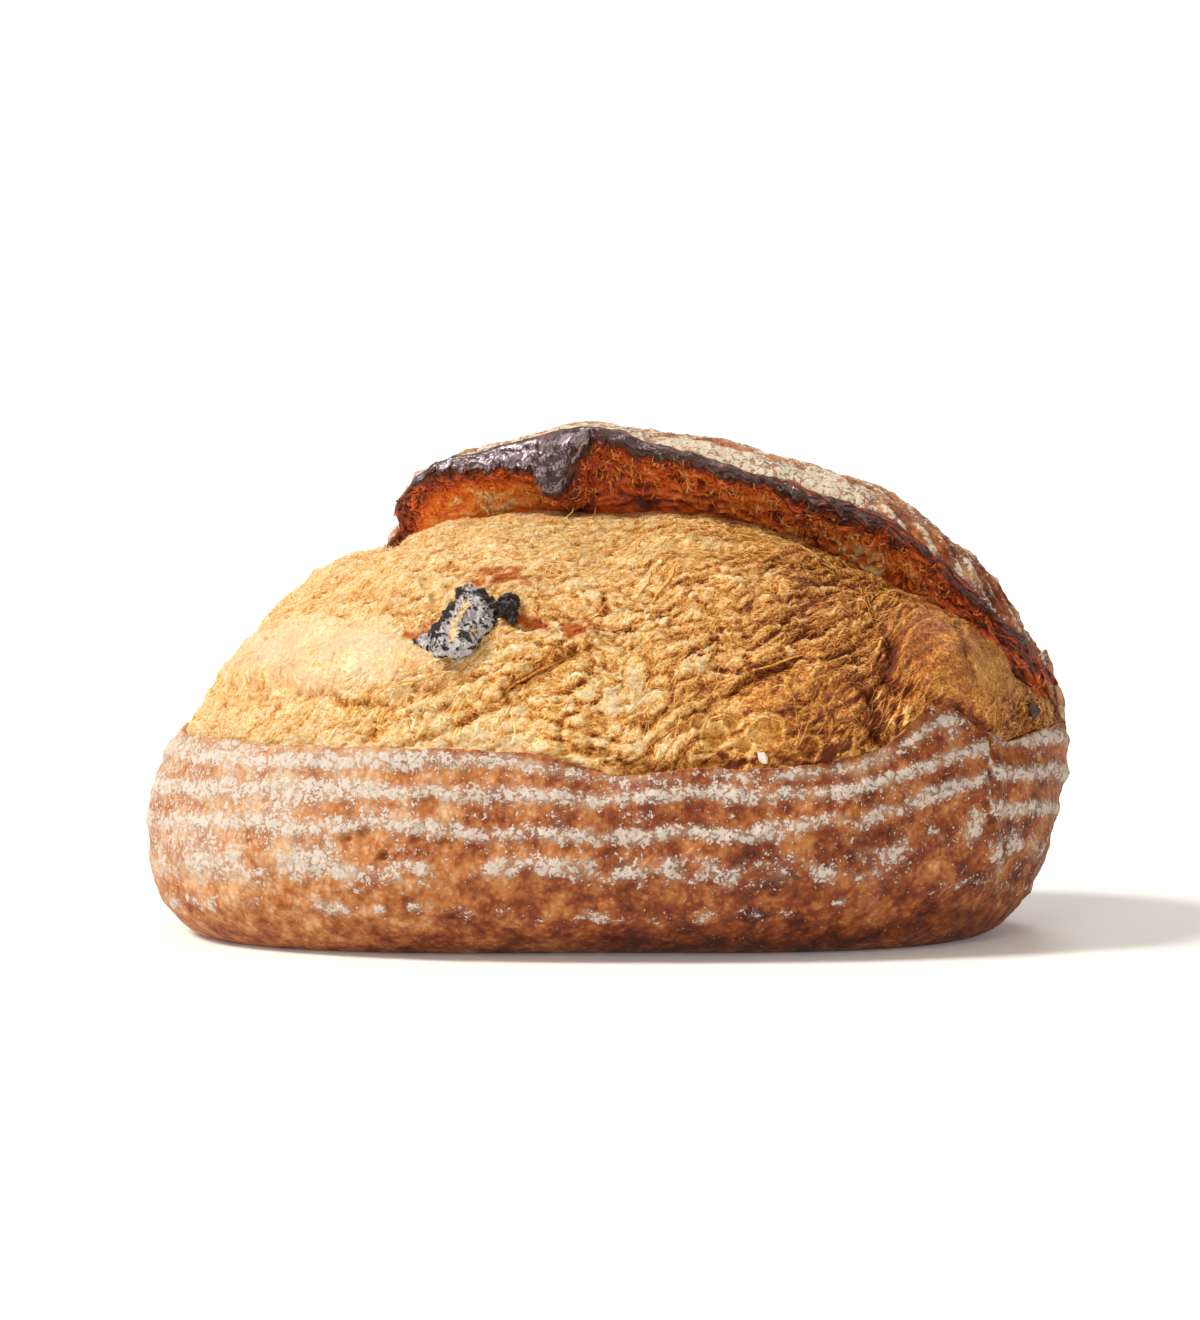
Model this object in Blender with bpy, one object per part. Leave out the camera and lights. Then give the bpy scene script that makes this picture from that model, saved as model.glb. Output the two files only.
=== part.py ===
"""Sourdough loaf with one long slash, and the dark fruit that sits in its bloom.

The loaf lies along X with its slash facing -Y, and rests on the XY plane. Its skin is four lofts that share
their edges: the floured crust below, the pale bloom that opened in the slash, the hollow under the ear, and
the cap of top crust that runs from the lip of the ear down the back. All lofts pair the same stations, which
run from the slash's hidden corner at the back left, round the front, to the slash's right end.
"""

import math

import bmesh
import bpy
import numpy as np
from mathutils import Matrix, Vector, noise

MM = 0.001

# The outline from above is a superellipse, in millimetres.
HALF_LENGTH = 124.5
HALF_DEPTH = 88.0
PLAN_POWER = 2.4

# The wall of the crust, each as (left, right, front, back): the height where it is widest, how far it draws in
# below that towards the floor, and how far it leans in above it.
WIDEST_HEIGHT = (28.0, 57.0, 27.0, 48.0)
UNDERCUT = (16.0, 26.0, 33.0, 28.0)
LEAN = (8.0, 1.0, 3.5, 0.0)

# The fold at the crust's right end, where its left part laps over the right: place along the length, step, half
# width, and the height it starts from.
FOLD = (103.0, 1.8, 7.0, 16.0)

# The slash: the plan angles of its two corners, and the height of the ledge where the bloom leaves the crust.
# The swells raise or lower the front ledge, each as (place along the length, rise, width).
LEFT_CORNER = math.radians(143.0)
RIGHT_CORNER = math.radians(364.0)
LEDGE_HEIGHT = 55.3
SEAM_HEIGHT = 49.0
LEDGE_SWELLS = (
    (3.0, -5.5, 16.0),
    (40.0, -5.0, 28.0),
    (88.0, 12.0, 10.0),
    (125.0, 2.5, 12.0),
)
SEAM_GATHER = 1.9

# The ear, from the back left corner over the crown to the right end: the plan angle of the ledge point it
# pairs with, the lip's x, y and z, how far the crown stands behind and above the lip, and how far the ear's
# root lies behind and below the lip.
EAR_STATIONS = (
    (165.0, -88.0, 58.0, 85.0, 2.0, 0.0, 3.0, 2.0),
    (190.0, -74.0, 50.0, 96.5, 4.0, 0.0, 6.0, 4.0),
    (207.0, -63.0, 40.0, 102.5, 5.0, 0.0, 8.0, 6.0),
    (220.0, -57.5, 28.0, 109.5, 6.0, 0.0, 10.0, 9.0),
    (230.0, -56.5, 12.0, 118.5, 8.0, 0.0, 11.0, 13.0),
    (241.0, -46.0, -2.0, 128.0, 10.0, 0.0, 15.0, 17.0),
    (254.0, -27.0, -10.0, 133.0, 12.0, 0.0, 19.0, 19.0),
    (268.0, -3.0, -18.0, 138.0, 14.0, 0.0, 24.0, 24.5),
    (276.0, 11.0, -22.0, 133.5, 16.0, 1.0, 26.0, 19.5),
    (284.0, 27.0, -27.0, 129.5, 17.0, 3.4, 27.0, 17.5),
    (297.0, 51.0, -32.0, 122.0, 18.0, 5.2, 27.0, 17.5),
    (312.0, 76.0, -34.0, 112.5, 17.0, 6.0, 23.0, 19.5),
    (327.0, 96.0, -32.0, 95.0, 15.0, 12.0, 17.0, 18.0),
    (341.0, 111.0, -25.0, 81.0, 11.0, 12.0, 11.0, 15.0),
    (353.0, 120.5, -10.0, 69.0, 6.0, 3.0, 5.0, 8.0),
)
LIP_THICKNESS = 6.5
# How square the cap's arch stands over the back, at its left end and beyond: 2 is a straight slope.
CAP_ROUND = (1.5, 0.87)
CAP_LEFT_SHARE = 0.55
# The bloom's arch: the share of the way along the slash, how square the arch stands there (2 is a straight
# slope), and how far it crests above its root.
BLOOM_ARCH = (
    (0.0, 1.8, 0.0),
    (0.1, 1.75, 1.5),
    (0.2, 1.65, 9.0),
    (0.3, 1.45, 10.5),
    (0.36, 1.25, 6.0),
    (0.44, 1.05, 2.5),
    (0.9, 1.05, 2.0),
    (1.0, 1.05, 0.0),
)

# Swellings of the bloom between its stretch creases: place along the length, height, half sizes and rise.
BLOOM_LOBES = (
    (57.0, 65.0, 16.0, 13.0, 3.4),
    (103.0, 71.0, 11.0, 12.0, 2.6),
    (84.0, 84.0, 10.0, 13.0, 2.2),
    (-80.0, 80.0, 25.0, 9.0, 1.4),
    (6.0, 66.0, 22.0, 8.0, 1.6),
)
# Creases of the bloom, as points along the length and height, with their depth and half width.
BLOOM_CREASES = (
    (((-108.0, 68.0), (-76.0, 66.0), (-46.0, 65.0), (-34.0, 70.0)), 1.8, 2.6),
    (((74.0, 60.0), (76.0, 72.0), (70.0, 84.0)), 3.0, 2.6),
    (((8.0, 76.0), (34.0, 82.0), (56.0, 84.0)), 1.8, 2.6),
    (((92.0, 68.0), (96.0, 76.0), (93.0, 96.0)), 1.6, 2.2),
)

# The loaf's skin is split this finely: stations along the slash, and rows across each loft.
STATIONS = 64
WALL_ROWS = 11
BASE_ROWS = 2
BLOOM_ROWS = 26
EAR_ROWS = 5
CAP_ROWS = 15
CURL_ROWS = 4
RELIEF_CELL = 16.0
RELIEF_HEIGHT = 1.1

# The fruit is a crumpled lens that lies against the bloom: its centre, half sizes and turn.
FRUIT_CENTRE = (-36.3, -68.5, 88.5)
FRUIT_HALF_SIZES = (12.8, 6.3, 4.4)
FRUIT_TILT = math.radians(54.0)
FRUIT_SLANT = math.radians(43.0)
FRUIT_NUB = (-26.0, -67.0, 91.5)
FRUIT_NUB_RADIUS = 2.9
POCKET_GAP = 0.4


def smooth_step(value):
    """Runs from 0 to 1 as value does, with no slope at either end."""
    value = np.clip(value, 0.0, 1.0)
    return value * value * (3.0 - 2.0 * value)


def through(knots, values, at):
    """A smooth curve through values at knots (Catmull-Rom on uneven knots), read at the given places."""
    knots = np.asarray(knots, float)
    values = np.asarray(values, float)
    slopes = np.gradient(values, knots, axis=0)
    span = np.clip(np.searchsorted(knots, at, side="right") - 1, 0, len(knots) - 2)
    width = knots[span + 1] - knots[span]
    part = (at - knots[span]) / width
    part, width = part[:, None], width[:, None]
    start, end = values[span], values[span + 1]
    leave, arrive = slopes[span] * width, slopes[span + 1] * width
    return (
        start * (2 * part**3 - 3 * part**2 + 1)
        + leave * (part**3 - 2 * part**2 + part)
        + end * (3 * part**2 - 2 * part**3)
        + arrive * (part**3 - part**2)
    )


def by_side(values, angle):
    """Blends (left, right, front, back) values by plan angle."""
    left, right, front, back = values
    cosine, sine = np.cos(angle), np.sin(angle)
    along = np.where(cosine < 0, left, right) * cosine**2
    return along + np.where(sine < 0, front, back) * sine**2


def outline(angle):
    """The widest outline from above at a plan angle, as x and y."""
    power = 2.0 / PLAN_POWER
    x = HALF_LENGTH * np.sign(np.cos(angle)) * np.abs(np.cos(angle)) ** power
    y = HALF_DEPTH * np.sign(np.sin(angle)) * np.abs(np.sin(angle)) ** power
    return np.stack([x, y], -1)


def wall_point(angle, height, top):
    """A point of the crust's wall at a height, where the wall ends at top."""
    widest = np.minimum(by_side(WIDEST_HEIGHT, angle), top)
    low = np.clip(1.0 - height / widest, 0.0, 1.0)
    high = np.clip((height - widest) / np.maximum(top - widest, 1e-3), 0.0, 1.0)
    inset = by_side(UNDERCUT, angle) * (1.0 - np.sqrt(1.0 - low**2)) + by_side(LEAN, angle) * high**2
    plan = outline(angle)
    reach = np.linalg.norm(plan, axis=-1)
    plan = plan * ((reach - inset) / reach)[..., None]
    return np.concatenate([plan, np.broadcast_to(height, reach.shape)[..., None]], -1)


def ledge_height(angle):
    """The height of the slash's lower edge along the front."""
    x, y = outline(angle).T
    swells = sum(rise * np.exp(-(((x - place) / width) ** 2)) for place, rise, width in LEDGE_SWELLS)
    front = smooth_step((20.0 - y) / 40.0)
    right_end = smooth_step((x - 90.0) / 30.0)
    return LEDGE_HEIGHT + swells * np.maximum(front, right_end)


def loop_edges(share):
    """The ledge in front and the seam behind, at each share of the way from the left corner to the right one."""
    front_angle = LEFT_CORNER + (RIGHT_CORNER - LEFT_CORNER) * share
    back_angle = LEFT_CORNER - (LEFT_CORNER - (RIGHT_CORNER - 2 * math.pi)) * share**SEAM_GATHER
    front_top = ledge_height(front_angle)
    corners = np.where(share < 0.5, front_top[0], front_top[-1])
    belly = np.sin(math.pi * share) ** 0.7
    back_top = corners + (SEAM_HEIGHT - corners) * belly
    return front_angle, front_top, back_angle, back_top


def ear_lines(share, corners):
    """The lip's top edge, the crown behind it, the root below, and the way in from the lip, at each share."""
    left, right = corners
    rows = [(*left, 0.0, 0.0, 0.0, 0.0), *(row[1:] for row in EAR_STATIONS), (*right, 0.0, 0.0, 0.0, 0.0)]
    spans = (np.radians([row[0] for row in EAR_STATIONS]) - LEFT_CORNER) / (RIGHT_CORNER - LEFT_CORNER)
    values = through(np.concatenate([[0.0], spans, [1.0]]), rows, share)
    lip, offsets = values[:, :3], np.clip(values[:, 3:], 0.0, None)
    along = np.gradient(lip[:, :2], axis=0)
    along /= np.maximum(np.linalg.norm(along, axis=1), 1e-9)[:, None]
    inward = np.stack([-along[:, 1], along[:, 0]], -1)
    crown, root = lip.copy(), lip.copy()
    crown[:, :2] += inward * offsets[:, :1]
    crown[:, 2] += offsets[:, 1]
    root[:, :2] += inward * offsets[:, 2:3]
    root[:, 2] -= offsets[:, 3]
    return lip, crown, root, inward


def arch(start, end, rows, power):
    """A loft from start, where it stands up, to end, where it lies level: a quarter of a superellipse."""
    turn = np.linspace(0.0, math.pi / 2, rows + 1)[None, :]
    power = np.broadcast_to(power, len(start))[:, None]
    across = (1.0 - np.cos(turn) ** power)[..., None]
    up = (np.sin(turn) ** power)[..., None]
    rise = np.concatenate([across, across, up], -1)
    return start[:, None] + (end - start)[:, None] * rise


def normals_of(grid):
    """Unit normals of a grid of points, by the cross product of its two directions."""
    along, across = np.gradient(grid, axis=0), np.gradient(grid, axis=1)
    normal = np.cross(along, across)
    return normal / np.maximum(np.linalg.norm(normal, axis=-1, keepdims=True), 1e-9)


def segment_distance(x, z, points):
    """The distance from (x, z) to a broken line."""
    best = np.full(x.shape, np.inf)
    for (x0, z0), (x1, z1) in zip(points, points[1:]):
        length = (x1 - x0) ** 2 + (z1 - z0) ** 2
        part = np.clip(((x - x0) * (x1 - x0) + (z - z0) * (z1 - z0)) / length, 0.0, 1.0)
        best = np.minimum(best, np.hypot(x - x0 - part * (x1 - x0), z - z0 - part * (z1 - z0)))
    return best


def bumps(grid):
    """Uneven swelling of the dough, from smooth noise at the scale of its large bubbles."""
    flat = [noise.noise(Vector(point) / RELIEF_CELL) for point in grid.reshape(-1, 3)]
    return RELIEF_HEIGHT * np.reshape(flat, grid.shape[:2])


def inner_weight(shape):
    """1 inside a loft and 0 on its four edges, so that neighbouring lofts still meet."""
    along = np.linspace(0.0, 1.0, shape[0])[:, None]
    across = np.linspace(0.0, 1.0, shape[1])[None, :]
    return smooth_step(np.minimum(along, 1 - along) / 0.06) * smooth_step(np.minimum(across, 1 - across) / 0.1)


def raised(grid, height, outward):
    """The grid with each point moved out along its normal."""
    return grid + (normals_of(grid) * outward) * (height * inner_weight(grid.shape[:2]))[..., None]


def bloom_loft(ledge, root):
    """The bloom: an arch from the ledge up to the ear's root, with its crest, lobes and creases."""
    share = np.linspace(0.0, 1.0, len(ledge))
    across = np.linspace(0.0, 1.0, BLOOM_ROWS + 1)[None, :]
    power, crest = through([row[0] for row in BLOOM_ARCH], [row[1:] for row in BLOOM_ARCH], share).T
    grid = arch(ledge, root, BLOOM_ROWS, power)
    grid[..., 2] += crest[:, None] * np.sin(math.pi * across**2)
    x, z = grid[..., 0], grid[..., 2]
    front = smooth_step((10.0 - grid[..., 1]) / 20.0)
    height = bumps(grid)
    for place, level, half_width, half_height, rise in BLOOM_LOBES:
        distance = ((x - place) / half_width) ** 2 + ((z - level) / half_height) ** 2
        height = height + rise * front * np.exp(-(distance**2))
    for points, depth, half_width in BLOOM_CREASES:
        height = height - depth * front * np.exp(-((segment_distance(x, z, points) / half_width) ** 2))
    return raised(grid, height, 1.0)


def ear_loft(root, lip, inward):
    """The hollow under the ear: up from the root, forward under the roof, and up the lip's thick edge."""
    size = np.clip(np.linalg.norm(lip - root, axis=1) / (3.0 * LIP_THICKNESS), 0.0, 1.0)
    edge = lip.copy()
    edge[:, :2] += inward * (0.12 * LIP_THICKNESS * size)[:, None]
    edge[:, 2] -= LIP_THICKNESS * size
    roof = root + 0.35 * (edge - root)
    roof[:, 2] = root[:, 2] + 0.86 * (edge[:, 2] - root[:, 2])
    part = np.linspace(0.0, 1.0, EAR_ROWS)[None, :, None]
    under = (
        root[:, None] * (1 - part) ** 2
        + 2 * roof[:, None] * part * (1 - part)
        + edge[:, None] * part**2
    )
    return np.concatenate([under, lip[:, None]], axis=1)


def cap_loft(seam, crown, lip, share):
    """The top crust: an arch from the seam at the back up to the crown, then a curl forward to the ear's lip."""
    left, right = CAP_ROUND
    power = left + (right - left) * smooth_step(share / CAP_LEFT_SHARE)
    over = arch(seam, crown, CAP_ROWS, power)
    curl = arch(lip, crown, CURL_ROWS, 1.0)[:, :-1]
    grid = np.concatenate([over, curl[:, ::-1]], axis=1)
    return raised(grid, bumps(grid), -1.0)


def wall_loft(angle, top, outward):
    """The crust below: in from the middle of the base, round its edge and up the wall to top."""
    turn = np.linspace(0.0, 1.0, WALL_ROWS + 1)[None, :]
    height = top[:, None] * turn**1.35
    spread = np.repeat(angle[:, None], WALL_ROWS + 1, axis=1)
    wall = wall_point(spread, height, np.repeat(top[:, None], WALL_ROWS + 1, axis=1))
    place, step, half_width, low = FOLD
    off = (wall[..., 0] - place) / half_width
    lap = -step * np.tanh(3.0 * off) * np.exp(-(off**2)) * smooth_step((height - low) / 20.0)
    relief = bumps(wall) * smooth_step(height / 12.0) + np.where(wall[..., 1] < 0, lap, 0.0)
    wall = raised(wall, relief, outward)
    foot = wall[:, 0]
    shares = np.linspace(0.0, 1.0, BASE_ROWS + 1)[:-1]
    base = foot[:, None] * shares[None, :, None]
    return np.concatenate([base, wall], axis=1)


def add_loft(mesh, grid, turned):
    """Adds a grid of points to a bmesh as quads, turned over if its normals would point in."""
    rows = [[mesh.verts.new(Vector(point) * MM) for point in row] for row in grid]
    for here, after in zip(rows, rows[1:]):
        for a, b, c, d in zip(here, after, after[1:], here[1:]):
            mesh.faces.new((a, d, c, b) if turned else (a, b, c, d))


def loaf_lofts():
    """The four lofts of the loaf's skin, with the wall's in two halves, as grids of points that share edges."""
    share = np.linspace(0.0, 1.0, STATIONS + 1)
    front_angle, front_top, back_angle, back_top = loop_edges(share)
    ledge = wall_point(front_angle, front_top, front_top)
    seam = wall_point(back_angle, back_top, back_top)
    seam[0], seam[-1] = ledge[0], ledge[-1]
    lip, crown, root, inward = ear_lines(share, (ledge[0], ledge[-1]))
    back_wall = wall_loft(back_angle, back_top, -1.0)
    front_wall = wall_loft(front_angle, front_top, 1.0)
    back_wall[0], back_wall[-1] = front_wall[0], front_wall[-1]
    return {
        "bloom": bloom_loft(ledge, root),
        "ear": ear_loft(root, lip, inward),
        "cap": cap_loft(seam, crown, lip, share),
        "front": front_wall,
        "back": back_wall,
    }


def loaf_mesh():
    """The whole loaf as one closed mesh."""
    built = bmesh.new()
    for name, grid in loaf_lofts().items():
        add_loft(built, grid, name in ("cap", "back"))
    bmesh.ops.remove_doubles(built, verts=built.verts, dist=0.02 * MM)
    bmesh.ops.dissolve_degenerate(built, edges=built.edges, dist=0.02 * MM)
    bmesh.ops.triangulate(built, faces=built.faces)
    bmesh.ops.recalc_face_normals(built, faces=built.faces)
    mesh = bpy.data.meshes.new("loaf")
    built.to_mesh(mesh)
    built.free()
    return mesh


def fruit_mesh(name, grown):
    """The fruit: a sphere drawn out to a crumpled lens, with a nub at its upper right. grown is added all over."""
    built = bmesh.new()
    bmesh.ops.create_icosphere(built, subdivisions=3, radius=1.0)
    turn = Matrix.Rotation(FRUIT_SLANT, 3, "X") @ Matrix.Rotation(FRUIT_TILT, 3, "Z")
    centre, nub = Vector(FRUIT_CENTRE), Vector(FRUIT_NUB)
    for vertex in built.verts:
        unit = vertex.co.copy()
        crumple = 1.0 + 0.16 * noise.noise(unit * 1.9) + 0.07 * noise.noise(unit * 4.3)
        size = [half * crumple + grown for half in FRUIT_HALF_SIZES]
        point = turn @ Vector([axis * half for axis, half in zip(unit, size)]) + centre
        pull = math.exp(-(((point - nub).length / 5.5) ** 2))
        reach = (nub - centre).normalized() * FRUIT_NUB_RADIUS
        vertex.co = (point + reach * pull) * MM
    mesh = bpy.data.meshes.new(name)
    built.to_mesh(mesh)
    built.free()
    return mesh


def make_material(name, colour, roughness):
    """A Principled material for one food."""
    material = bpy.data.materials.new(name)
    material.use_nodes = True
    shader = material.node_tree.nodes["Principled BSDF"]
    shader.inputs["Base Color"].default_value = (*colour, 1.0)
    shader.inputs["Roughness"].default_value = roughness
    return material


def add_object(name, mesh, collection):
    """A named object for a mesh, in a collection."""
    made = bpy.data.objects.new(name, mesh)
    collection.objects.link(made)
    return made


def main():
    """Builds the loaf and its fruit."""
    for old in list(bpy.data.objects):
        bpy.data.objects.remove(old, do_unlink=True)
    foods = bpy.data.collections.new("sourdough_loaf")
    cutters = bpy.data.collections.new("cutters")
    for collection in (foods, cutters):
        bpy.context.scene.collection.children.link(collection)

    loaf = add_object("loaf", loaf_mesh(), foods)
    loaf.data.materials.append(make_material("baked_crust", (0.52, 0.27, 0.09), 0.75))
    fruit = add_object("dark_fruit", fruit_mesh("dark_fruit", 0.0), foods)
    fruit.data.materials.append(make_material("charred_fruit", (0.02, 0.017, 0.02), 0.45))
    for food in (loaf, fruit):
        food.data.shade_smooth()

    cutter = add_object("fruit_pocket", fruit_mesh("fruit_pocket", POCKET_GAP), cutters)
    cutter.hide_render = True
    cutter.display_type = "WIRE"
    pocket = loaf.modifiers.new("fruit_pocket", "BOOLEAN")
    pocket.operation = "DIFFERENCE"
    pocket.object = cutter


if __name__ == "__main__":
    main()
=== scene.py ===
"""The looks of a sourdough loaf: floured crust, torn golden bloom, charred ear and a dark dried fruit.

The loaf lies along X, its open side faces -Y and it rests on the XY plane. Lengths in the classes are
millimetres; meshes are in metres. The skin's shape is the same one as the solids': lofts between the ledge of
the slash in front, the seam behind and the lip of the ear, here on finer grids with the relief of real bread.
Places on the open side are given as the camera sees them, as (across, up) in millimetres on the plane y = 0.
"""

from __future__ import annotations

import logging
import math
from dataclasses import dataclass, field
from enum import Enum

import bmesh
import bpy
import numpy as np
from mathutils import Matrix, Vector

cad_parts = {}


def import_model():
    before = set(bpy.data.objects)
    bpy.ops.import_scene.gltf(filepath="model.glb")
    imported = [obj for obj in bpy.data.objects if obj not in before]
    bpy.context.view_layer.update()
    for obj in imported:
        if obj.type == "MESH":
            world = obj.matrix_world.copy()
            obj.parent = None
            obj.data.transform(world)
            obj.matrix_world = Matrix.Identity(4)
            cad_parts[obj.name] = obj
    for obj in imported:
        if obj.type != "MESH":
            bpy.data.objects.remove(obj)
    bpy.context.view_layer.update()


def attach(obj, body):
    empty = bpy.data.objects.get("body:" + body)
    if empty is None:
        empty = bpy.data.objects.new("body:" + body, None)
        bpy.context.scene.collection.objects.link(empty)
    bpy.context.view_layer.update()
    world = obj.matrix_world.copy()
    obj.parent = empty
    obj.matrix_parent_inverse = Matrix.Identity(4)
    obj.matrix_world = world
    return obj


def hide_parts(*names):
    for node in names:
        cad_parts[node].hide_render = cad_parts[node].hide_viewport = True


MM = 0.001
LOG = logging.getLogger("loaf")
Grid = np.ndarray
Line = tuple[tuple[float, float], ...]


def linear(code: str) -> tuple[float, float, float, float]:
    """Turns an sRGB hex colour into linear RGBA.

    Args:
        code: the colour, such as "#E0A75A".

    Returns:
        The colour as four linear values.
    """
    parts = [int(code[i : i + 2], 16) / 255.0 for i in (1, 3, 5)]
    low = [part / 12.92 if part <= 0.04045 else ((part + 0.055) / 1.055) ** 2.4 for part in parts]
    return (*low, 1.0)


def smooth_step(value: Grid) -> Grid:
    """Runs from 0 to 1 as value does, with no slope at either end: 3 v^2 - 2 v^3."""
    value = np.clip(value, 0.0, 1.0)
    return value * value * (3.0 - 2.0 * value)


def through(knots: Grid, values: Grid, at: Grid) -> Grid:
    """Reads a smooth curve through values at knots (cubic Hermite with slopes by differences).

    Args:
        knots: increasing places of the values.
        values: one row for each knot.
        at: the places to read.

    Returns:
        One row for each place.
    """
    knots, values = np.asarray(knots, float), np.asarray(values, float)
    slopes = np.gradient(values, knots, axis=0)
    span = np.clip(np.searchsorted(knots, at, side="right") - 1, 0, len(knots) - 2)
    width = (knots[span + 1] - knots[span])[:, None]
    part = (at - knots[span])[:, None] / width
    rise = values[span] * (2 * part**3 - 3 * part**2 + 1) + values[span + 1] * (3 * part**2 - 2 * part**3)
    lean = slopes[span] * (part**3 - 2 * part**2 + part) + slopes[span + 1] * (part**3 - part**2)
    return rise + lean * width


class Noise:
    """Seeded gradient noise and cells on arrays of points."""

    def __init__(self, seed: int) -> None:
        """Shuffles the lattice and draws its slopes and seeds.

        Args:
            seed: the seed of the draw.
        """
        draw = np.random.default_rng(seed)
        self.order = draw.permutation(256)
        slopes = draw.normal(size=(256, 3))
        self.slopes = slopes / np.linalg.norm(slopes, axis=1, keepdims=True)
        self.spots = draw.random((256, 3))

    def _corner(self, cell: Grid) -> Grid:
        """The lattice's number for each whole-number cell.

        Args:
            cell: whole numbers along X, Y and Z.

        Returns:
            a number from 0 to 255 for each.
        """
        order = self.order
        first = order[cell[..., 0] & 255]
        second = order[(first + cell[..., 1]) & 255]
        return order[(second + cell[..., 2]) & 255]

    def smooth(self, points: Grid) -> Grid:
        """Gradient noise, about -1 to 1: slopes at the eight lattice corners, blended by quintic easing.

        Args:
            points: points, with a unit cell as the unit.

        Returns:
            the noise at each point.
        """
        cell = np.floor(points).astype(int)
        part = points - cell
        ease = part**3 * (part * (part * 6 - 15) + 10)
        total = np.zeros(points.shape[:-1])
        for corner in np.ndindex(2, 2, 2):
            offset = np.array(corner)
            slope = self.slopes[self._corner(cell + offset)]
            weight = np.prod(np.where(offset, ease, 1 - ease), axis=-1)
            total += ((part - offset) * slope).sum(-1) * weight
        return total * 1.7

    def fractal(self, points: Grid, octaves: int = 3, gain: float = 0.5) -> Grid:
        """Octaves of smooth noise, each twice as fine and gain times as high as the one before.

        Args:
            points: points, with the first octave's cell as the unit.
            octaves: how many octaves.
            gain: the height of each octave against the one before.

        Returns:
            the noise at each point.
        """
        total, height = np.zeros(points.shape[:-1]), 1.0
        for octave in range(octaves):
            total += height * self.smooth(points * 2.0**octave + 17.3 * octave)
            height *= gain
        return total

    def ridged(self, points: Grid, octaves: int = 2) -> Grid:
        """Sharp crests, 0 to about 1: the mean of (1 - |noise|)^2 over octaves.

        Args:
            points: points, with the first octave's cell as the unit.
            octaves: how many octaves.

        Returns:
            the crests' height at each point.
        """
        total, height, full = np.zeros(points.shape[:-1]), 1.0, 0.0
        for octave in range(octaves):
            crest = 1.0 - np.abs(self.smooth(points * 2.1**octave + 9.1 * octave))
            total += height * np.clip(crest, 0, 1) ** 2
            full += height
            height *= 0.5
        return total / full

    def cells(self, points: Grid) -> tuple[Grid, Grid]:
        """Distances from each point to the nearest and the second nearest of one random seed per unit cell.

        Args:
            points: points, with a unit cell as the unit.

        Returns:
            both distances at each point.
        """
        cell = np.floor(points).astype(int)
        best = np.full(points.shape[:-1], 9.0)
        second = best.copy()
        for corner in np.ndindex(3, 3, 3):
            near = cell + np.array(corner) - 1
            seed = near + self.spots[self._corner(near)]
            far = np.linalg.norm(seed - points, axis=-1)
            second = np.minimum(second, np.maximum(best, far))
            best = np.minimum(best, far)
        return best, second

    def shingles(self, along: Grid, across: Grid) -> tuple[Grid, Grid, Grid]:
        """Flakes that overlap like shingles: one tilted plane for each random seed of a unit lattice.

        Args:
            along: distances along the flakes, in flakes.
            across: distances across them, in flakes.

        Returns:
            The height, about -0.6 to 1.2, how near each point is to its flake's edge, and the flake's own tint.
        """
        cell_u, cell_v = np.floor(along).astype(int), np.floor(across).astype(int)
        best = np.full(along.shape, 9.0)
        second, height, tint = best.copy(), np.zeros(along.shape), np.zeros(along.shape)
        for u, v in np.ndindex(3, 3):
            near_u, near_v = cell_u + u - 1, cell_v + v - 1
            key = self.order[(self.order[near_u & 255] + near_v) & 255]
            off_u = along - near_u - self.spots[key, 0]
            off_v = across - near_v - self.spots[key, 1]
            far = np.hypot(off_u, off_v)
            closer = far < best
            second = np.where(closer, best, np.minimum(second, far))
            best = np.where(closer, far, best)
            lean = (self.spots[key, 2] - 0.5) * 2.2
            height = np.where(closer, off_v * np.cos(lean) + off_u * np.sin(lean) + 0.6 * self.spots[key, 0], height)
            tint = np.where(closer, self.spots[key, 1], tint)
        return height, np.exp(-(((second - best) / 0.16) ** 2)), tint


def flat(along: Grid, across: Grid, layer: float = 0.0) -> Grid:
    """Points for noise from two surface coordinates and a layer number."""
    return np.stack([along, across, np.full(along.shape, layer)], -1)


def line_distance(across: Grid, up: Grid, line: Line) -> tuple[Grid, Grid]:
    """Measures places from a broken line.

    Args:
        across: the places' first coordinate.
        up: the places' second coordinate.
        line: the line's corners.

    Returns:
        The signed distance, positive on the left of the line's direction, and how far along it, 0 to 1.
    """
    best, sign = np.full(across.shape, 1e9), np.ones(across.shape)
    run = np.zeros(across.shape)
    count = len(line) - 1
    for step, ((x0, z0), (x1, z1)) in enumerate(zip(line, line[1:])):
        dx, dz = x1 - x0, z1 - z0
        part = np.clip(((across - x0) * dx + (up - z0) * dz) / (dx * dx + dz * dz), 0, 1)
        far = np.hypot(across - x0 - part * dx, up - z0 - part * dz)
        nearer = far < best
        side = np.sign(dx * (up - z0) - dz * (across - x0))
        best = np.where(nearer, far, best)
        sign = np.where(nearer, side, sign)
        run = np.where(nearer, (step + part) / count, run)
    return best * sign, run


def grid_normals(grid: Grid) -> Grid:
    """Unit normals of a grid of points: the cross product of its two directions."""
    normal = np.cross(np.gradient(grid, axis=0), np.gradient(grid, axis=1))
    return normal / np.maximum(np.linalg.norm(normal, axis=-1, keepdims=True), 1e-9)


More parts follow.
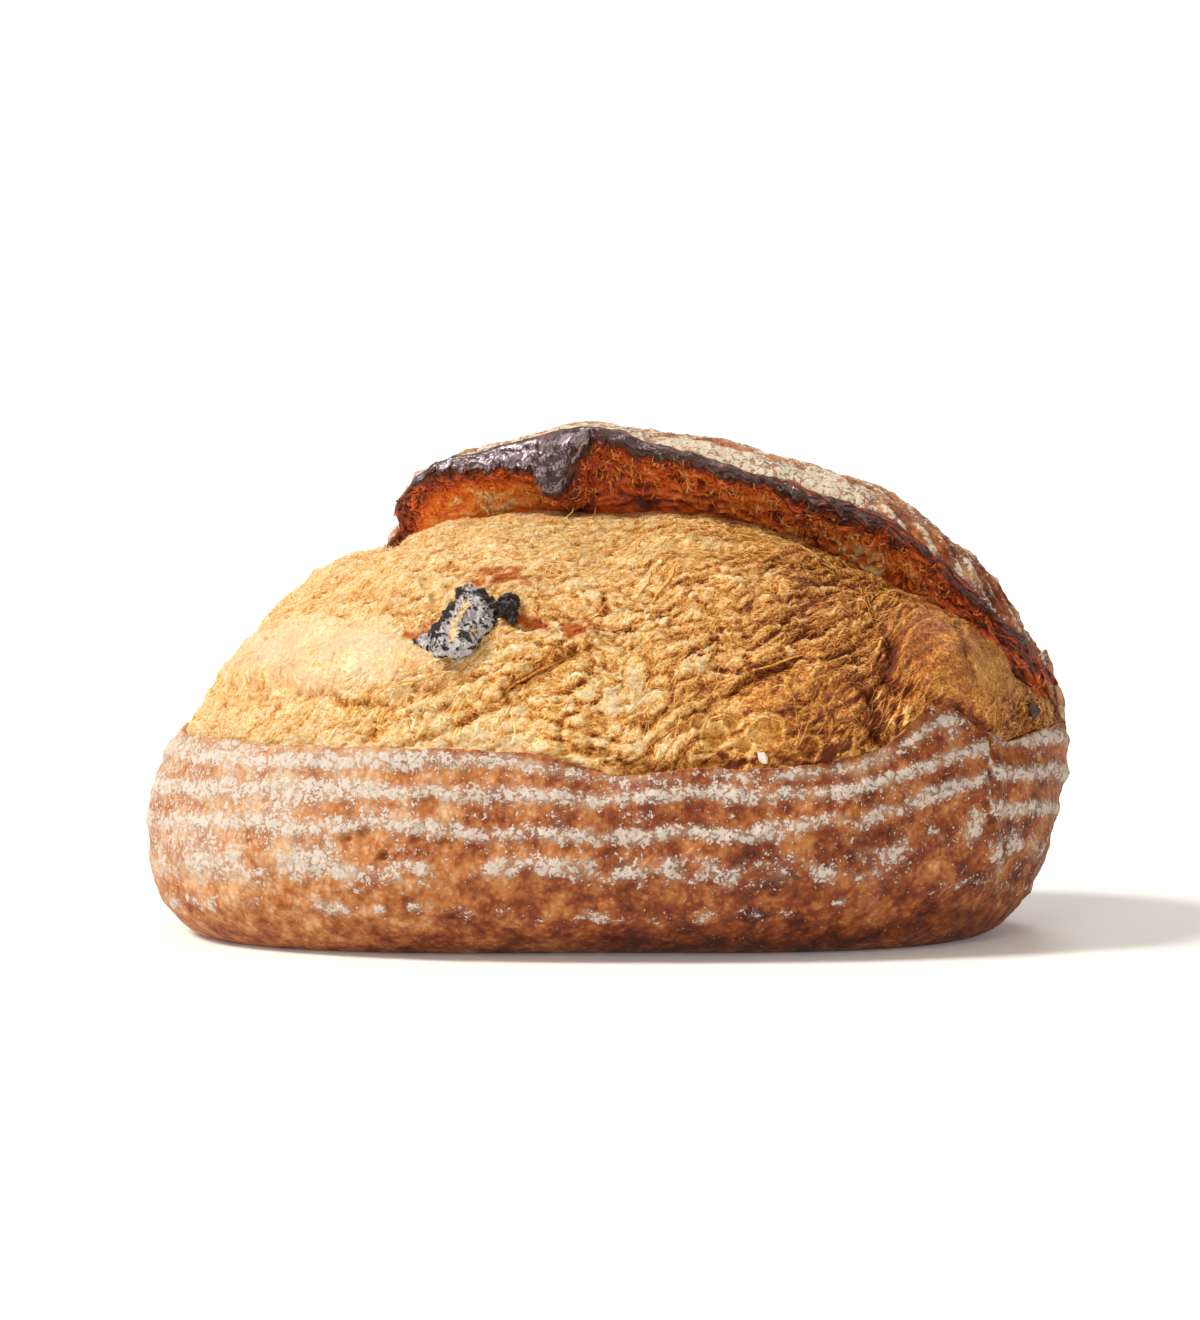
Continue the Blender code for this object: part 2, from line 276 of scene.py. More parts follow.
def grid_lengths(grid: Grid) -> tuple[Grid, Grid]:
    """Distances run along a grid: along its first direction on a row two fifths up, and up its second.

    Args:
        grid: points by station and row.

    Returns:
        the distances along and up, in mm, by station and row.
    """
    row = grid[:, int(grid.shape[1] * 0.4)]
    steps = np.linalg.norm(np.diff(row, axis=0), axis=-1)
    along = np.concatenate([[0.0], np.cumsum(steps)])
    rises = np.linalg.norm(np.diff(grid, axis=1), axis=-1)
    up = np.concatenate([np.zeros((grid.shape[0], 1)), np.cumsum(rises, axis=1)], axis=1)
    return np.broadcast_to(along[:, None], up.shape), up


def blurred(values: Grid, radius: int) -> Grid:
    """The mean over a square of grid points: running sums along each direction, one taken from the other.

    Args:
        values: the grid to blur.
        radius: the square's reach each way, in grid points.

    Returns:
        the blurred grid.
    """
    size = 2 * radius + 1
    for _ in range(2):
        ends = [np.repeat(values[:1], radius + 1, axis=0), values, np.repeat(values[-1:], radius, axis=0)]
        run = np.cumsum(np.concatenate(ends), axis=0)
        values = ((run[size:] - run[:-size]) / size).T
    return values


def seen(points: Grid) -> tuple[Grid, Grid]:
    """Where the camera sees points, in mm on the plane y = 0, along the rays from CAMERA_SPOT.

    Args:
        points: points in mm.

    Returns:
        X and Z of each on that plane.
    """
    x0, y0, z0 = CAMERA_SPOT
    scale = -y0 / (points[..., 1] - y0)
    return x0 + (points[..., 0] - x0) * scale, z0 + (points[..., 2] - z0) * scale


def read_grid(grid: Grid, along: Grid, across: Grid) -> Grid:
    """Reads a grid at fractional row and column numbers, by bilinear blending.

    Args:
        grid: the grid to read.
        along: row numbers.
        across: column numbers.

    Returns:
        the value, or point, at each pair.
    """
    along = np.clip(along, 0, grid.shape[0] - 1.001)
    across = np.clip(across, 0, grid.shape[1] - 1.001)
    i, j = along.astype(int), across.astype(int)
    u, v = along - i, across - j
    if grid.ndim == 3:
        u, v = u[..., None], v[..., None]
    low = grid[i, j] * (1 - u) + grid[i + 1, j] * u
    high = grid[i, j + 1] * (1 - u) + grid[i + 1, j + 1] * u
    return low * (1 - v) + high * v


def mesh_object(name: str, points: Grid, faces: Grid, values: dict[str, Grid], weld: bool) -> bpy.types.Object:
    """Makes a smooth-shaded mesh object at the origin.

    Args:
        name: the piece's name.
        points: one row of x, y, z in mm for each vertex.
        faces: rows of four vertex numbers.
        values: attributes, one number or one row of three for each vertex.
        weld: merges vertices that meet at poles and seams.

    Returns:
        The object, linked to the scene.
    """
    mesh = bpy.data.meshes.new(name)
    mesh.vertices.add(len(points))
    mesh.vertices.foreach_set("co", (points * MM).astype(np.float32).ravel())
    mesh.loops.add(faces.size)
    mesh.loops.foreach_set("vertex_index", faces.astype(np.int32).ravel())
    mesh.polygons.add(len(faces))
    mesh.polygons.foreach_set("loop_start", np.arange(0, faces.size, faces.shape[1], dtype=np.int32))
    mesh.update(calc_edges=True)
    for key, value in values.items():
        vector = value.ndim == 2
        layer = mesh.attributes.new(key, "FLOAT_VECTOR" if vector else "FLOAT", "POINT")
        layer.data.foreach_set("vector" if vector else "value", value.astype(np.float32).ravel())
    if weld:
        built = bmesh.new()
        built.from_mesh(mesh)
        bmesh.ops.remove_doubles(built, verts=built.verts, dist=2e-6)
        built.to_mesh(mesh)
        built.free()
    mesh.validate()
    mesh.shade_smooth()
    made = bpy.data.objects.new(name, mesh)
    bpy.context.scene.collection.objects.link(made)
    return made


def sheet_object(name: str, grid: Grid, values: dict[str, Grid], turned: bool) -> bpy.types.Object:
    """Makes a mesh object from a grid of points, with its faces turned over where asked.

    Args:
        name: the piece's name.
        grid: points by station and row, in mm.
        values: the attributes by name, one value for each point.
        turned: whether its faces are turned over.

    Returns:
        the object.
    """
    rows, columns = grid.shape[:2]
    number = np.arange(rows * columns).reshape(rows, columns)
    corners = (number[:-1, :-1], number[1:, :-1], number[1:, 1:], number[:-1, 1:])
    faces = np.stack(corners[::-1] if turned else corners, -1).reshape(-1, 4)
    lists = {key: value.reshape(rows * columns, *value.shape[2:]) for key, value in values.items()}
    return mesh_object(name, grid.reshape(-1, 3), faces, lists, True)


def add_node(
    tree: bpy.types.NodeTree, kind: str, settings: dict | None = None, links: dict | None = None
) -> bpy.types.Node:
    """Adds a node.

    Args:
        tree: the node tree.
        kind: the node's type.
        settings: values by socket name or number, by property name, or "stops" for a colour ramp.
        links: output sockets by the name or number of the input they feed.

    Returns:
        The node.
    """
    node = tree.nodes.new(kind)
    for key, value in (settings or {}).items():
        if key == "stops":
            ramp = node.color_ramp.elements
            while len(ramp) < len(value):
                ramp.new(0.5)
            for stop, (place, colour) in zip(ramp, value):
                stop.position, stop.color = place, linear(colour)
        elif isinstance(key, int) or key in node.inputs:
            node.inputs[key].default_value = value
        else:
            setattr(node, key, value)
    for key, source in (links or {}).items():
        tree.links.new(source, node.inputs[key])
    return node


def new_material(name: str) -> tuple[bpy.types.Material, bpy.types.NodeTree]:
    """An empty node material and its tree.

    Args:
        name: the material's name.

    Returns:
        the material and its tree.
    """
    material = bpy.data.materials.new(name)
    material.use_nodes = True
    material.node_tree.nodes.clear()
    return material, material.node_tree


CAMERA_LIFT = math.radians(3.6)
CAMERA_RANGE = 1500.0
CAMERA_TARGET = (-2.2, 0.0, 73.5 / math.cos(math.radians(3.6)))
CAMERA_SPOT = (
    CAMERA_TARGET[0],
    -CAMERA_RANGE * math.cos(CAMERA_LIFT),
    CAMERA_TARGET[2] + CAMERA_RANGE * math.sin(CAMERA_LIFT),
)


class Slot(Enum):
    """The record's material slots."""

    CRUST = "crust"
    FRUIT = "fruit"


@dataclass
class LoafForm:
    """The loaf's smooth shape, by the same named sizes as the solids: loops round the slash and lofts between."""

    half_length: float = 124.5
    half_depth: float = 88.0
    plan_power: float = 2.4
    widest_height: tuple[float, ...] = (28.0, 57.0, 27.0, 48.0)
    undercut: tuple[float, ...] = (16.0, 26.0, 33.0, 28.0)
    lean: tuple[float, ...] = (8.0, 1.0, 3.5, 0.0)
    left_corner: float = math.radians(143.0)
    right_corner: float = math.radians(364.0)
    ledge_level: float = 55.3
    seam_level: float = 49.0
    seam_gather: float = 1.9
    ledge_swells: tuple[tuple[float, float, float], ...] = (
        (3.0, -5.5, 16.0),
        (40.0, -5.0, 28.0),
        (88.0, 12.0, 10.0),
        (125.0, 2.5, 12.0),
    )
    ear_stations: tuple[tuple[float, ...], ...] = (
        (165.0, -88.0, 58.0, 85.0, 2.0, 0.0, 3.0, 2.0),
        (190.0, -74.0, 50.0, 96.5, 4.0, 0.0, 6.0, 4.0),
        (207.0, -63.0, 40.0, 102.5, 5.0, 0.0, 8.0, 6.0),
        (220.0, -57.5, 28.0, 109.5, 6.0, 0.0, 10.0, 9.0),
        (230.0, -56.5, 12.0, 118.5, 8.0, 0.0, 11.0, 13.0),
        (241.0, -46.0, -2.0, 128.0, 10.0, 0.0, 15.0, 17.0),
        (254.0, -27.0, -10.0, 133.0, 12.0, 0.0, 19.0, 19.0),
        (268.0, -3.0, -18.0, 138.0, 14.0, 0.0, 24.0, 24.5),
        (276.0, 11.0, -22.0, 133.5, 16.0, 1.0, 26.0, 19.5),
        (284.0, 27.0, -27.0, 129.5, 17.0, 3.4, 27.0, 17.5),
        (297.0, 51.0, -32.0, 122.0, 18.0, 5.2, 27.0, 17.5),
        (312.0, 76.0, -34.0, 112.5, 17.0, 6.0, 23.0, 19.5),
        (327.0, 96.0, -32.0, 95.0, 15.0, 12.0, 17.0, 18.0),
        (341.0, 111.0, -25.0, 81.0, 11.0, 12.0, 11.0, 15.0),
        (353.0, 120.5, -10.0, 69.0, 6.0, 3.0, 5.0, 8.0),
    )
    bloom_arch: tuple[tuple[float, float, float], ...] = (
        (0.0, 1.8, 0.0),
        (0.1, 1.75, 1.5),
        (0.2, 1.65, 9.0),
        (0.3, 1.45, 10.5),
        (0.36, 1.25, 6.0),
        (0.44, 1.05, 2.5),
        (0.9, 1.05, 2.0),
        (1.0, 1.05, 0.0),
    )
    cap_round: tuple[float, float] = (1.5, 0.87)
    cap_left_share: float = 0.55

    def by_side(self, values: tuple[float, ...], angle: Grid) -> Grid:
        """Blends (left, right, front, back) values by the squares of the plan angle's cosine and sine.

        Args:
            values: the four values.
            angle: plan angles.

        Returns:
            the blended value at each angle.
        """
        left, right, front, back = values
        cosine, sine = np.cos(angle), np.sin(angle)
        along = np.where(cosine < 0, left, right) * cosine**2
        return along + np.where(sine < 0, front, back) * sine**2

    def outline(self, angle: Grid) -> Grid:
        """The widest outline from above at plan angles: a superellipse.

        Args:
            angle: plan angles.

        Returns:
            X and Y at each angle, in mm.
        """
        power = 2.0 / self.plan_power
        x = self.half_length * np.sign(np.cos(angle)) * np.abs(np.cos(angle)) ** power
        y = self.half_depth * np.sign(np.sin(angle)) * np.abs(np.sin(angle)) ** power
        return np.stack([x, y], -1)

    def wall(self, angle: Grid, height: Grid, top: Grid) -> Grid:
        """Points of the wall: the outline drawn in below by a quarter ellipse and above by a square.

        Args:
            angle: plan angles.
            height: heights in mm.
            top: the wall's top at each, in mm.

        Returns:
            the point at each angle and height, in mm.
        """
        widest = np.minimum(self.by_side(self.widest_height, angle), top)
        low = np.clip(1.0 - height / widest, 0.0, 1.0)
        high = np.clip((height - widest) / np.maximum(top - widest, 1e-3), 0.0, 1.0)
        inset = self.by_side(self.undercut, angle) * (1.0 - np.sqrt(1.0 - low**2))
        inset = inset + self.by_side(self.lean, angle) * high**2
        plan = self.outline(angle)
        reach = np.linalg.norm(plan, axis=-1)
        plan = plan * ((reach - inset) / reach)[..., None]
        return np.concatenate([plan, np.broadcast_to(height, reach.shape)[..., None]], -1)

    def ledge_height(self, angle: Grid) -> Grid:
        """The height of the slash's lower edge: a level with Gaussian swells along the front.

        Args:
            angle: plan angles.

        Returns:
            the height at each angle, in mm.
        """
        x, y = self.outline(angle).T
        swells = sum(rise * np.exp(-(((x - place) / width) ** 2)) for place, rise, width in self.ledge_swells)
        front = np.maximum(smooth_step((20.0 - y) / 40.0), smooth_step((x - 90.0) / 30.0))
        return self.ledge_level + swells * front

    def edges(self, share: Grid) -> tuple[Grid, Grid, Grid, Grid]:
        """Plan angle and height of the ledge in front and the seam behind, at shares of the way along.

        Args:
            share: shares of the way along, 0 to 1.

        Returns:
            the ledge's angle and height, then the seam's angle and height.
        """
        front_angle = self.left_corner + (self.right_corner - self.left_corner) * share
        sweep = self.left_corner - (self.right_corner - 2 * math.pi)
        back_angle = self.left_corner - sweep * share**self.seam_gather
        front_top = self.ledge_height(front_angle)
        corners = np.where(share < 0.5, front_top[0], front_top[-1])
        back_top = corners + (self.seam_level - corners) * np.sin(math.pi * share) ** 0.7
        return front_angle, front_top, back_angle, back_top

    def ear_lines(self, share: Grid, corners: tuple[Grid, Grid]) -> tuple[Grid, Grid, Grid, Grid]:
        """The lip's top edge, the crown behind it, the root below, and the way in from the lip.

        Args:
            share: shares of the way along, 0 to 1.
            corners: the left and the right end of the slash.

        Returns:
            the three lines' points in mm, and the way in as a direction in plan.
        """
        left, right = corners
        ends = [(*left, 0.0, 0.0, 0.0, 0.0), (*right, 0.0, 0.0, 0.0, 0.0)]
        rows = [ends[0], *(row[1:] for row in self.ear_stations), ends[1]]
        spans = np.radians([row[0] for row in self.ear_stations]) - self.left_corner
        spans = spans / (self.right_corner - self.left_corner)
        values = through(np.concatenate([[0.0], spans, [1.0]]), rows, share)
        lip, offsets = values[:, :3], np.clip(values[:, 3:], 0.0, None)
        along = np.gradient(lip[:, :2], axis=0)
        along /= np.maximum(np.linalg.norm(along, axis=1), 1e-9)[:, None]
        inward = np.stack([-along[:, 1], along[:, 0]], -1)
        crown, root = lip.copy(), lip.copy()
        crown[:, :2] += inward * offsets[:, :1]
        crown[:, 2] += offsets[:, 1]
        root[:, :2] += inward * offsets[:, 2:3]
        root[:, 2] -= offsets[:, 3]
        return lip, crown, root, inward

    @staticmethod
    def arch(start: Grid, end: Grid, turn: Grid, power: Grid) -> Grid:
        """A loft that stands up at start and lies level at end: a quarter of a superellipse.

        Args:
            start: the points where it starts.
            end: the points where it ends.
            turn: angles of the quarter turn, 0 to pi / 2.
            power: the superellipse's power, or one for each point.

        Returns:
            points by station and angle.
        """
        power = np.broadcast_to(power, len(start))[:, None]
        across = (1.0 - np.cos(turn)[None, :] ** power)[..., None]
        up = (np.sin(turn)[None, :] ** power)[..., None]
        rise = np.concatenate([across, across, up], -1)
        return start[:, None] + (end - start)[:, None] * rise


@dataclass
class SharedLines:
    """The edges that the pieces share, at the stations of one grid, with the raggedness of torn crust."""

    form: LoafForm
    share: Grid
    ragged: Noise = field(default_factory=lambda: Noise(11))

    def __post_init__(self) -> None:
        """Works the lines out and roughens the lip by noise of 9 mm and 3 mm grain."""
        self.front_angle, self.front_top, self.back_angle, self.back_top = self.form.edges(self.share)
        place = self.form.outline(self.front_angle)
        grain = np.stack([place[:, 0], place[:, 1], 0 * place[:, 0]], -1)
        ends = smooth_step(np.minimum(self.share, 1 - self.share) / 0.03)
        torn = 0.55 * self.ragged.fractal(grain / 9.0, 3) + 0.4 * self.ragged.smooth(grain / 2.6)
        self.front_top = self.front_top + ends * torn
        self.ledge = self.form.wall(self.front_angle, self.front_top, self.front_top)
        self.seam = self.form.wall(self.back_angle, self.back_top, self.back_top)
        self.seam[0], self.seam[-1] = self.ledge[0], self.ledge[-1]
        lines = self.form.ear_lines(self.share, (self.ledge[0], self.ledge[-1]))
        self.lip, self.crown, self.root, self.inward = lines
        rough = ends * (0.8 * self.ragged.fractal(self.lip / 9.0, 2) + 0.35 * self.ragged.smooth(self.lip / 2.4))
        self.lip[:, 2] += rough - 0.3 * ends
        self.lip[:, :2] += self.inward * (0.9 * ends * self.ragged.fractal(self.lip / 7.0 + 40.0, 2))[:, None]
        plan = self.ledge[:, :2]
        self.ledge_in = -plan / np.linalg.norm(plan, axis=1, keepdims=True)


# The proofing basket's turns, as the height of each flour ring's middle along the open side, seen from the
# front: the same places across for all, then the rings from the top. The crust laps over itself at FOLD.
RING_PLACES = (-120, -103, -81, -59, -33, -20, -7, 3, 20, 43, 55, 67, 78, 90, 102.4, 103.6, 124)
RINGS = (
    (50.2, 46.9, 45.3, 46.5, 46.5, 44.2, 41.6, 41.0, 41.4, 42.2, 42.8, 44.0, 48.5, 57.0, 58.5, 52.7, 52.2),
    (39.2, 38.6, 38.0, 38.0, 37.2, 36.2, 35.6, 35.6, 37.4, 36.8, 37.2, 38.4, 41.5, 45.4, 50.6, 43.3, 43.0),
    (30.3, 29.4, 28.4, 27.8, 27.0, 26.0, 25.2, 24.8, 26.2, 26.4, 28.1, 29.6, 32.5, 37.0, 40.8, 33.2, 33.0),
    (19.0, 18.4, 17.2, 16.6, 16.2, 16.0, 15.8, 15.6, 15.4, 15.4, 16.0, 17.4, 20.5, 25.0, 29.6, 22.5, 22.0),
    (8.0, 7.4, 6.4, 5.6, 4.6, 4.2, 4.0, 4.0, 4.0, 4.4, 5.0, 6.0, 8.5, 11.0, 15.0, 11.0, 11.0),
)
RING_HALF_WIDTHS = (2.7, 2.8, 2.9, 4.5, 2.0)
RING_BACK = (50.5, 40.0, 30.0, 19.5, 9.0)
RING_SPACING = 10.4
FOLD = 103.0


@dataclass
class FlourRings:
    """White flour that the basket left, as a thickness from 0 to 1, and the low ridges it lies on."""

    grain: Noise = field(default_factory=lambda: Noise(23))

    def on_wall(self, points: Grid) -> tuple[Grid, Grid]:
        """Works out the rings on the crust's wall.

        Args:
            points: the wall's points.

        Returns:
            The flour's thickness, and the ridge height, both 0 to 1.
        """
        across, up = seen(points)
        front = smooth_step((30.0 - points[..., 1]) / 60.0)
        wander = 0.9 * self.grain.fractal(points / 14.0, 2) + 0.45 * self.grain.smooth(points / 3.5)
        left = smooth_step((-35.0 - across) / 60.0)
        flour, ridge = np.zeros(across.shape), np.zeros(across.shape)
        for number, (heights, width, behind) in enumerate(zip(RINGS, RING_HALF_WIDTHS, RING_BACK)):
            middle = behind + (np.interp(across, RING_PLACES, heights) - behind) * front
            off = (up - middle + wander * (1.0 + 0.3 * number)) / (width * (1.0 + 0.4 * left))
            band = np.exp(-1.1 * off**2)
            patch = self.grain.fractal(points / 7.0 + 31.0 * number, 4, 0.6)
            strength = (1.0, 1.1, 0.95, 0.6, 0.2)[number] + (0.4, 0.5, 0.65, 1.0, 0.9)[number] * patch
            if number == 0:
                strength = strength - 0.45 * np.exp(-(((across - 22.0) / 38.0) ** 2))
            flour = np.maximum(flour, band * np.clip(strength + 0.25 * left, 0, 1.15))
            ridge = np.maximum(ridge, np.exp(-(off**2)))
        dust = 0.2 + 0.3 * self.grain.fractal(points / 12.0 + 7.0, 4, 0.6) + 0.38 * left
        dust = dust * smooth_step((up - 6.0) / 10.0)
        return np.maximum(flour, dust), ridge

    def on_cap(self, points: Grid, up: Grid) -> tuple[Grid, Grid]:
        """The same over the cap, where a ring comes at each spacing of the distance up from the seam.

        Args:
            points: the cap's points, in mm.
            up: distance up from the seam, in mm.

        Returns:
            the flour and the rings' ridges.
        """
        wander = 1.1 * self.grain.fractal(points / 16.0, 2) + 0.4 * self.grain.smooth(points / 4.0)
        turn = (up + wander) / (0.8 * RING_SPACING) + 0.03
        off = np.abs(turn - np.round(turn)) * 2.0
        band = 1.0 - smooth_step((off - 0.28) / 0.3)
        patch = self.grain.fractal(points / 8.0 + 13.0, 4, 0.6)
        flour = band * np.clip(0.8 + 0.6 * patch, 0.0, 1.1)
        dust = 0.2 + 0.3 * self.grain.fractal(points / 13.0 + 5.0, 4, 0.6)
        brim = smooth_step((up - up[:, -1:] + 11.0 + 3.0 * patch) / 3.0)
        brim = brim * smooth_step((80.0 - points[..., 0]) / 14.0)
        flour = np.maximum(flour, brim * (0.95 + 0.35 * patch))
        return np.maximum(flour, dust), np.exp(-((off / 0.5) ** 2))


@dataclass(frozen=True)
class CrustFinish:
    """Baked wheat crust, blistered by steam and dusted with flour: matt, grainy white over golden brown."""

    name: str = "baked_wheat_crust"
    stops: tuple[tuple[float, str], ...] = (
        (0.0, "#ECCDAA"),
        (0.25, "#D0A67C"),
        (0.5, "#B2713B"),
        (0.75, "#823D17"),
        (1.0, "#471906"),
    )
    flour: str = "#D4CFCA"
    flour_shade: str = "#BFAE9D"
    flour_toasted: str = "#D0C6AC"
    roughness: float = 0.62

    def build(self) -> bpy.types.Material:
        """Builds the material from the attributes toast and flour, with grain of 0.5 mm to 1.5 mm.

        Returns:
            the material.
        """
        material, tree = new_material(self.name)
        place = add_node(tree, "ShaderNodeTexCoord").outputs["Object"]
        burn, flour = (
            add_node(tree, "ShaderNodeAttribute", {"attribute_name": name}).outputs["Fac"]
            for name in ("toast", "flour")
        )
        blotch = add_node(
            tree, "ShaderNodeTexNoise", {"Scale": 430.0, "Detail": 6.0, "Roughness": 0.65}, {"Vector": place}
        )
        blister = add_node(tree, "ShaderNodeTexVoronoi", {"Scale": 560.0, "Randomness": 1.0}, {"Vector": place})
        # What each pattern adds: its output, the values that it runs between there, and what they turn to.
        for source, low, high, least, most in (
            (blotch.outputs["Fac"], 0.3, 0.7, -0.16, 0.16),
            (blister.outputs["Distance"], 0.0, 0.5, -0.1, 0.07),
        ):
            added = add_node(
                tree, "ShaderNodeMapRange", {"From Min": low, "From Max": high, "To Min": least, "To Max": most},
                {"Value": source},
            )
            burn = add_node(tree, "ShaderNodeMath", {"operation": "ADD"}, {0: burn, 1: added.outputs[0]}).outputs[0]
        baked = add_node(tree, "ShaderNodeValToRGB", {"stops": self.stops}, {"Fac": burn})
        # Flour lies in grains, so the attribute only says how likely a grain is and fine noise decides. Where the
        # dough stretched after the flour dried, the flour split in a net of cracks about 4 mm apart.
        grain = add_node(
            tree, "ShaderNodeTexNoise", {"Scale": 800.0, "Detail": 6.0, "Roughness": 0.7}, {"Vector": place}
        )
        clot = add_node(tree, "ShaderNodeTexVoronoi", {"Scale": 1600.0, "Randomness": 1.0}, {"Vector": place})
        pick = add_node(tree, "ShaderNodeSeparateColor", None, {0: clot.outputs["Color"]})
        warp = add_node(
            tree, "ShaderNodeVectorMath", {"operation": "MULTIPLY_ADD", 1: (0.003, 0.003, 0.003)},
            {0: grain.outputs["Color"], 2: place},
        )
        split = add_node(
            tree, "ShaderNodeTexVoronoi", {"Scale": 260.0, "feature": "DISTANCE_TO_EDGE"}, {"Vector": warp.outputs[0]}
        )
        laid = flour
        for source, low, high, least, most in (
            (grain.outputs["Fac"], 0.28, 0.72, -0.6, 0.6),
            (pick.outputs[0], 0.0, 1.0, -0.3, 0.3),
            (clot.outputs["Distance"], 0.0, 0.75, 0.16, -0.24),
            (split.outputs["Distance"], 0.0, 0.16, -0.5, 0.04),
        ):
            added = add_node(
                tree, "ShaderNodeMapRange", {"From Min": low, "From Max": high, "To Min": least, "To Max": most},
                {"Value": source},
            )
            laid = add_node(tree, "ShaderNodeMath", {"operation": "ADD"}, {0: laid, 1: added.outputs[0]}).outputs[0]
        cover = add_node(
            tree, "ShaderNodeMapRange", {"From Min": 0.47, "From Max": 0.53, "interpolation_type": "SMOOTHSTEP"},
            {"Value": laid},
        )
        # A thin veil of flour greys the crust between the grains.
        veil = add_node(
            tree, "ShaderNodeMapRange", {"From Min": 0.3, "From Max": 0.9, "To Min": 0.0, "To Max": 0.36},
            {"Value": flour},
        )
        dusty = add_node(
            tree, "ShaderNodeMix", {"data_type": "RGBA", 7: linear(self.flour_shade)},
            {0: veil.outputs[0], 6: baked.outputs["Color"]},
        )
        white = add_node(
            tree, "ShaderNodeMix", {"data_type": "RGBA", 6: linear(self.flour_shade), 7: linear(self.flour)},
            {0: blotch.outputs["Fac"]},
        )
        # High on the cap the flour toasted to cream.
        lifted = add_node(tree, "ShaderNodeSeparateXYZ", None, {0: place})
        creamed = add_node(
            tree, "ShaderNodeMapRange", {"From Min": 0.075, "From Max": 0.115, "To Max": 0.75},
            {"Value": lifted.outputs[2]},
        )
        white = add_node(
            tree, "ShaderNodeMix", {"data_type": "RGBA", 7: linear(self.flour_toasted)},
            {0: creamed.outputs[0], 6: white.outputs[2]},
        )
        thin = add_node(tree, "ShaderNodeMath", {"operation": "MULTIPLY", 1: 0.95}, {0: cover.outputs[0]})
        colour = add_node(
            tree, "ShaderNodeMix", {"data_type": "RGBA"},
            {0: thin.outputs[0], 6: dusty.outputs[2], 7: white.outputs[2]},
        )
        rough = add_node(
            tree, "ShaderNodeMapRange", {"To Min": self.roughness, "To Max": 0.95}, {"Value": cover.outputs[0]}
        )
        relief = add_node(
            tree, "ShaderNodeMath", {"operation": "MULTIPLY_ADD", 1: 0.35},
            {0: cover.outputs[0], 2: blotch.outputs["Fac"]},
        )
        bump = add_node(
            tree, "ShaderNodeBump", {"Strength": 1.0, "Distance": 0.0006}, {"Height": relief.outputs[0]}
        )
        pits = add_node(
            tree, "ShaderNodeBump", {"Strength": 0.7, "Distance": 0.0005, "invert": True},
            {"Height": blister.outputs["Distance"], "Normal": bump.outputs[0]},
        )
        shader = add_node(
            tree, "ShaderNodeBsdfPrincipled", {"IOR": 1.45, "Specular IOR Level": 0.35},
            {"Base Color": colour.outputs[2], "Roughness": rough.outputs[0], "Normal": pits.outputs[0]},
        )
        add_node(tree, "ShaderNodeOutputMaterial", None, {"Surface": shader.outputs[0]})
        return material


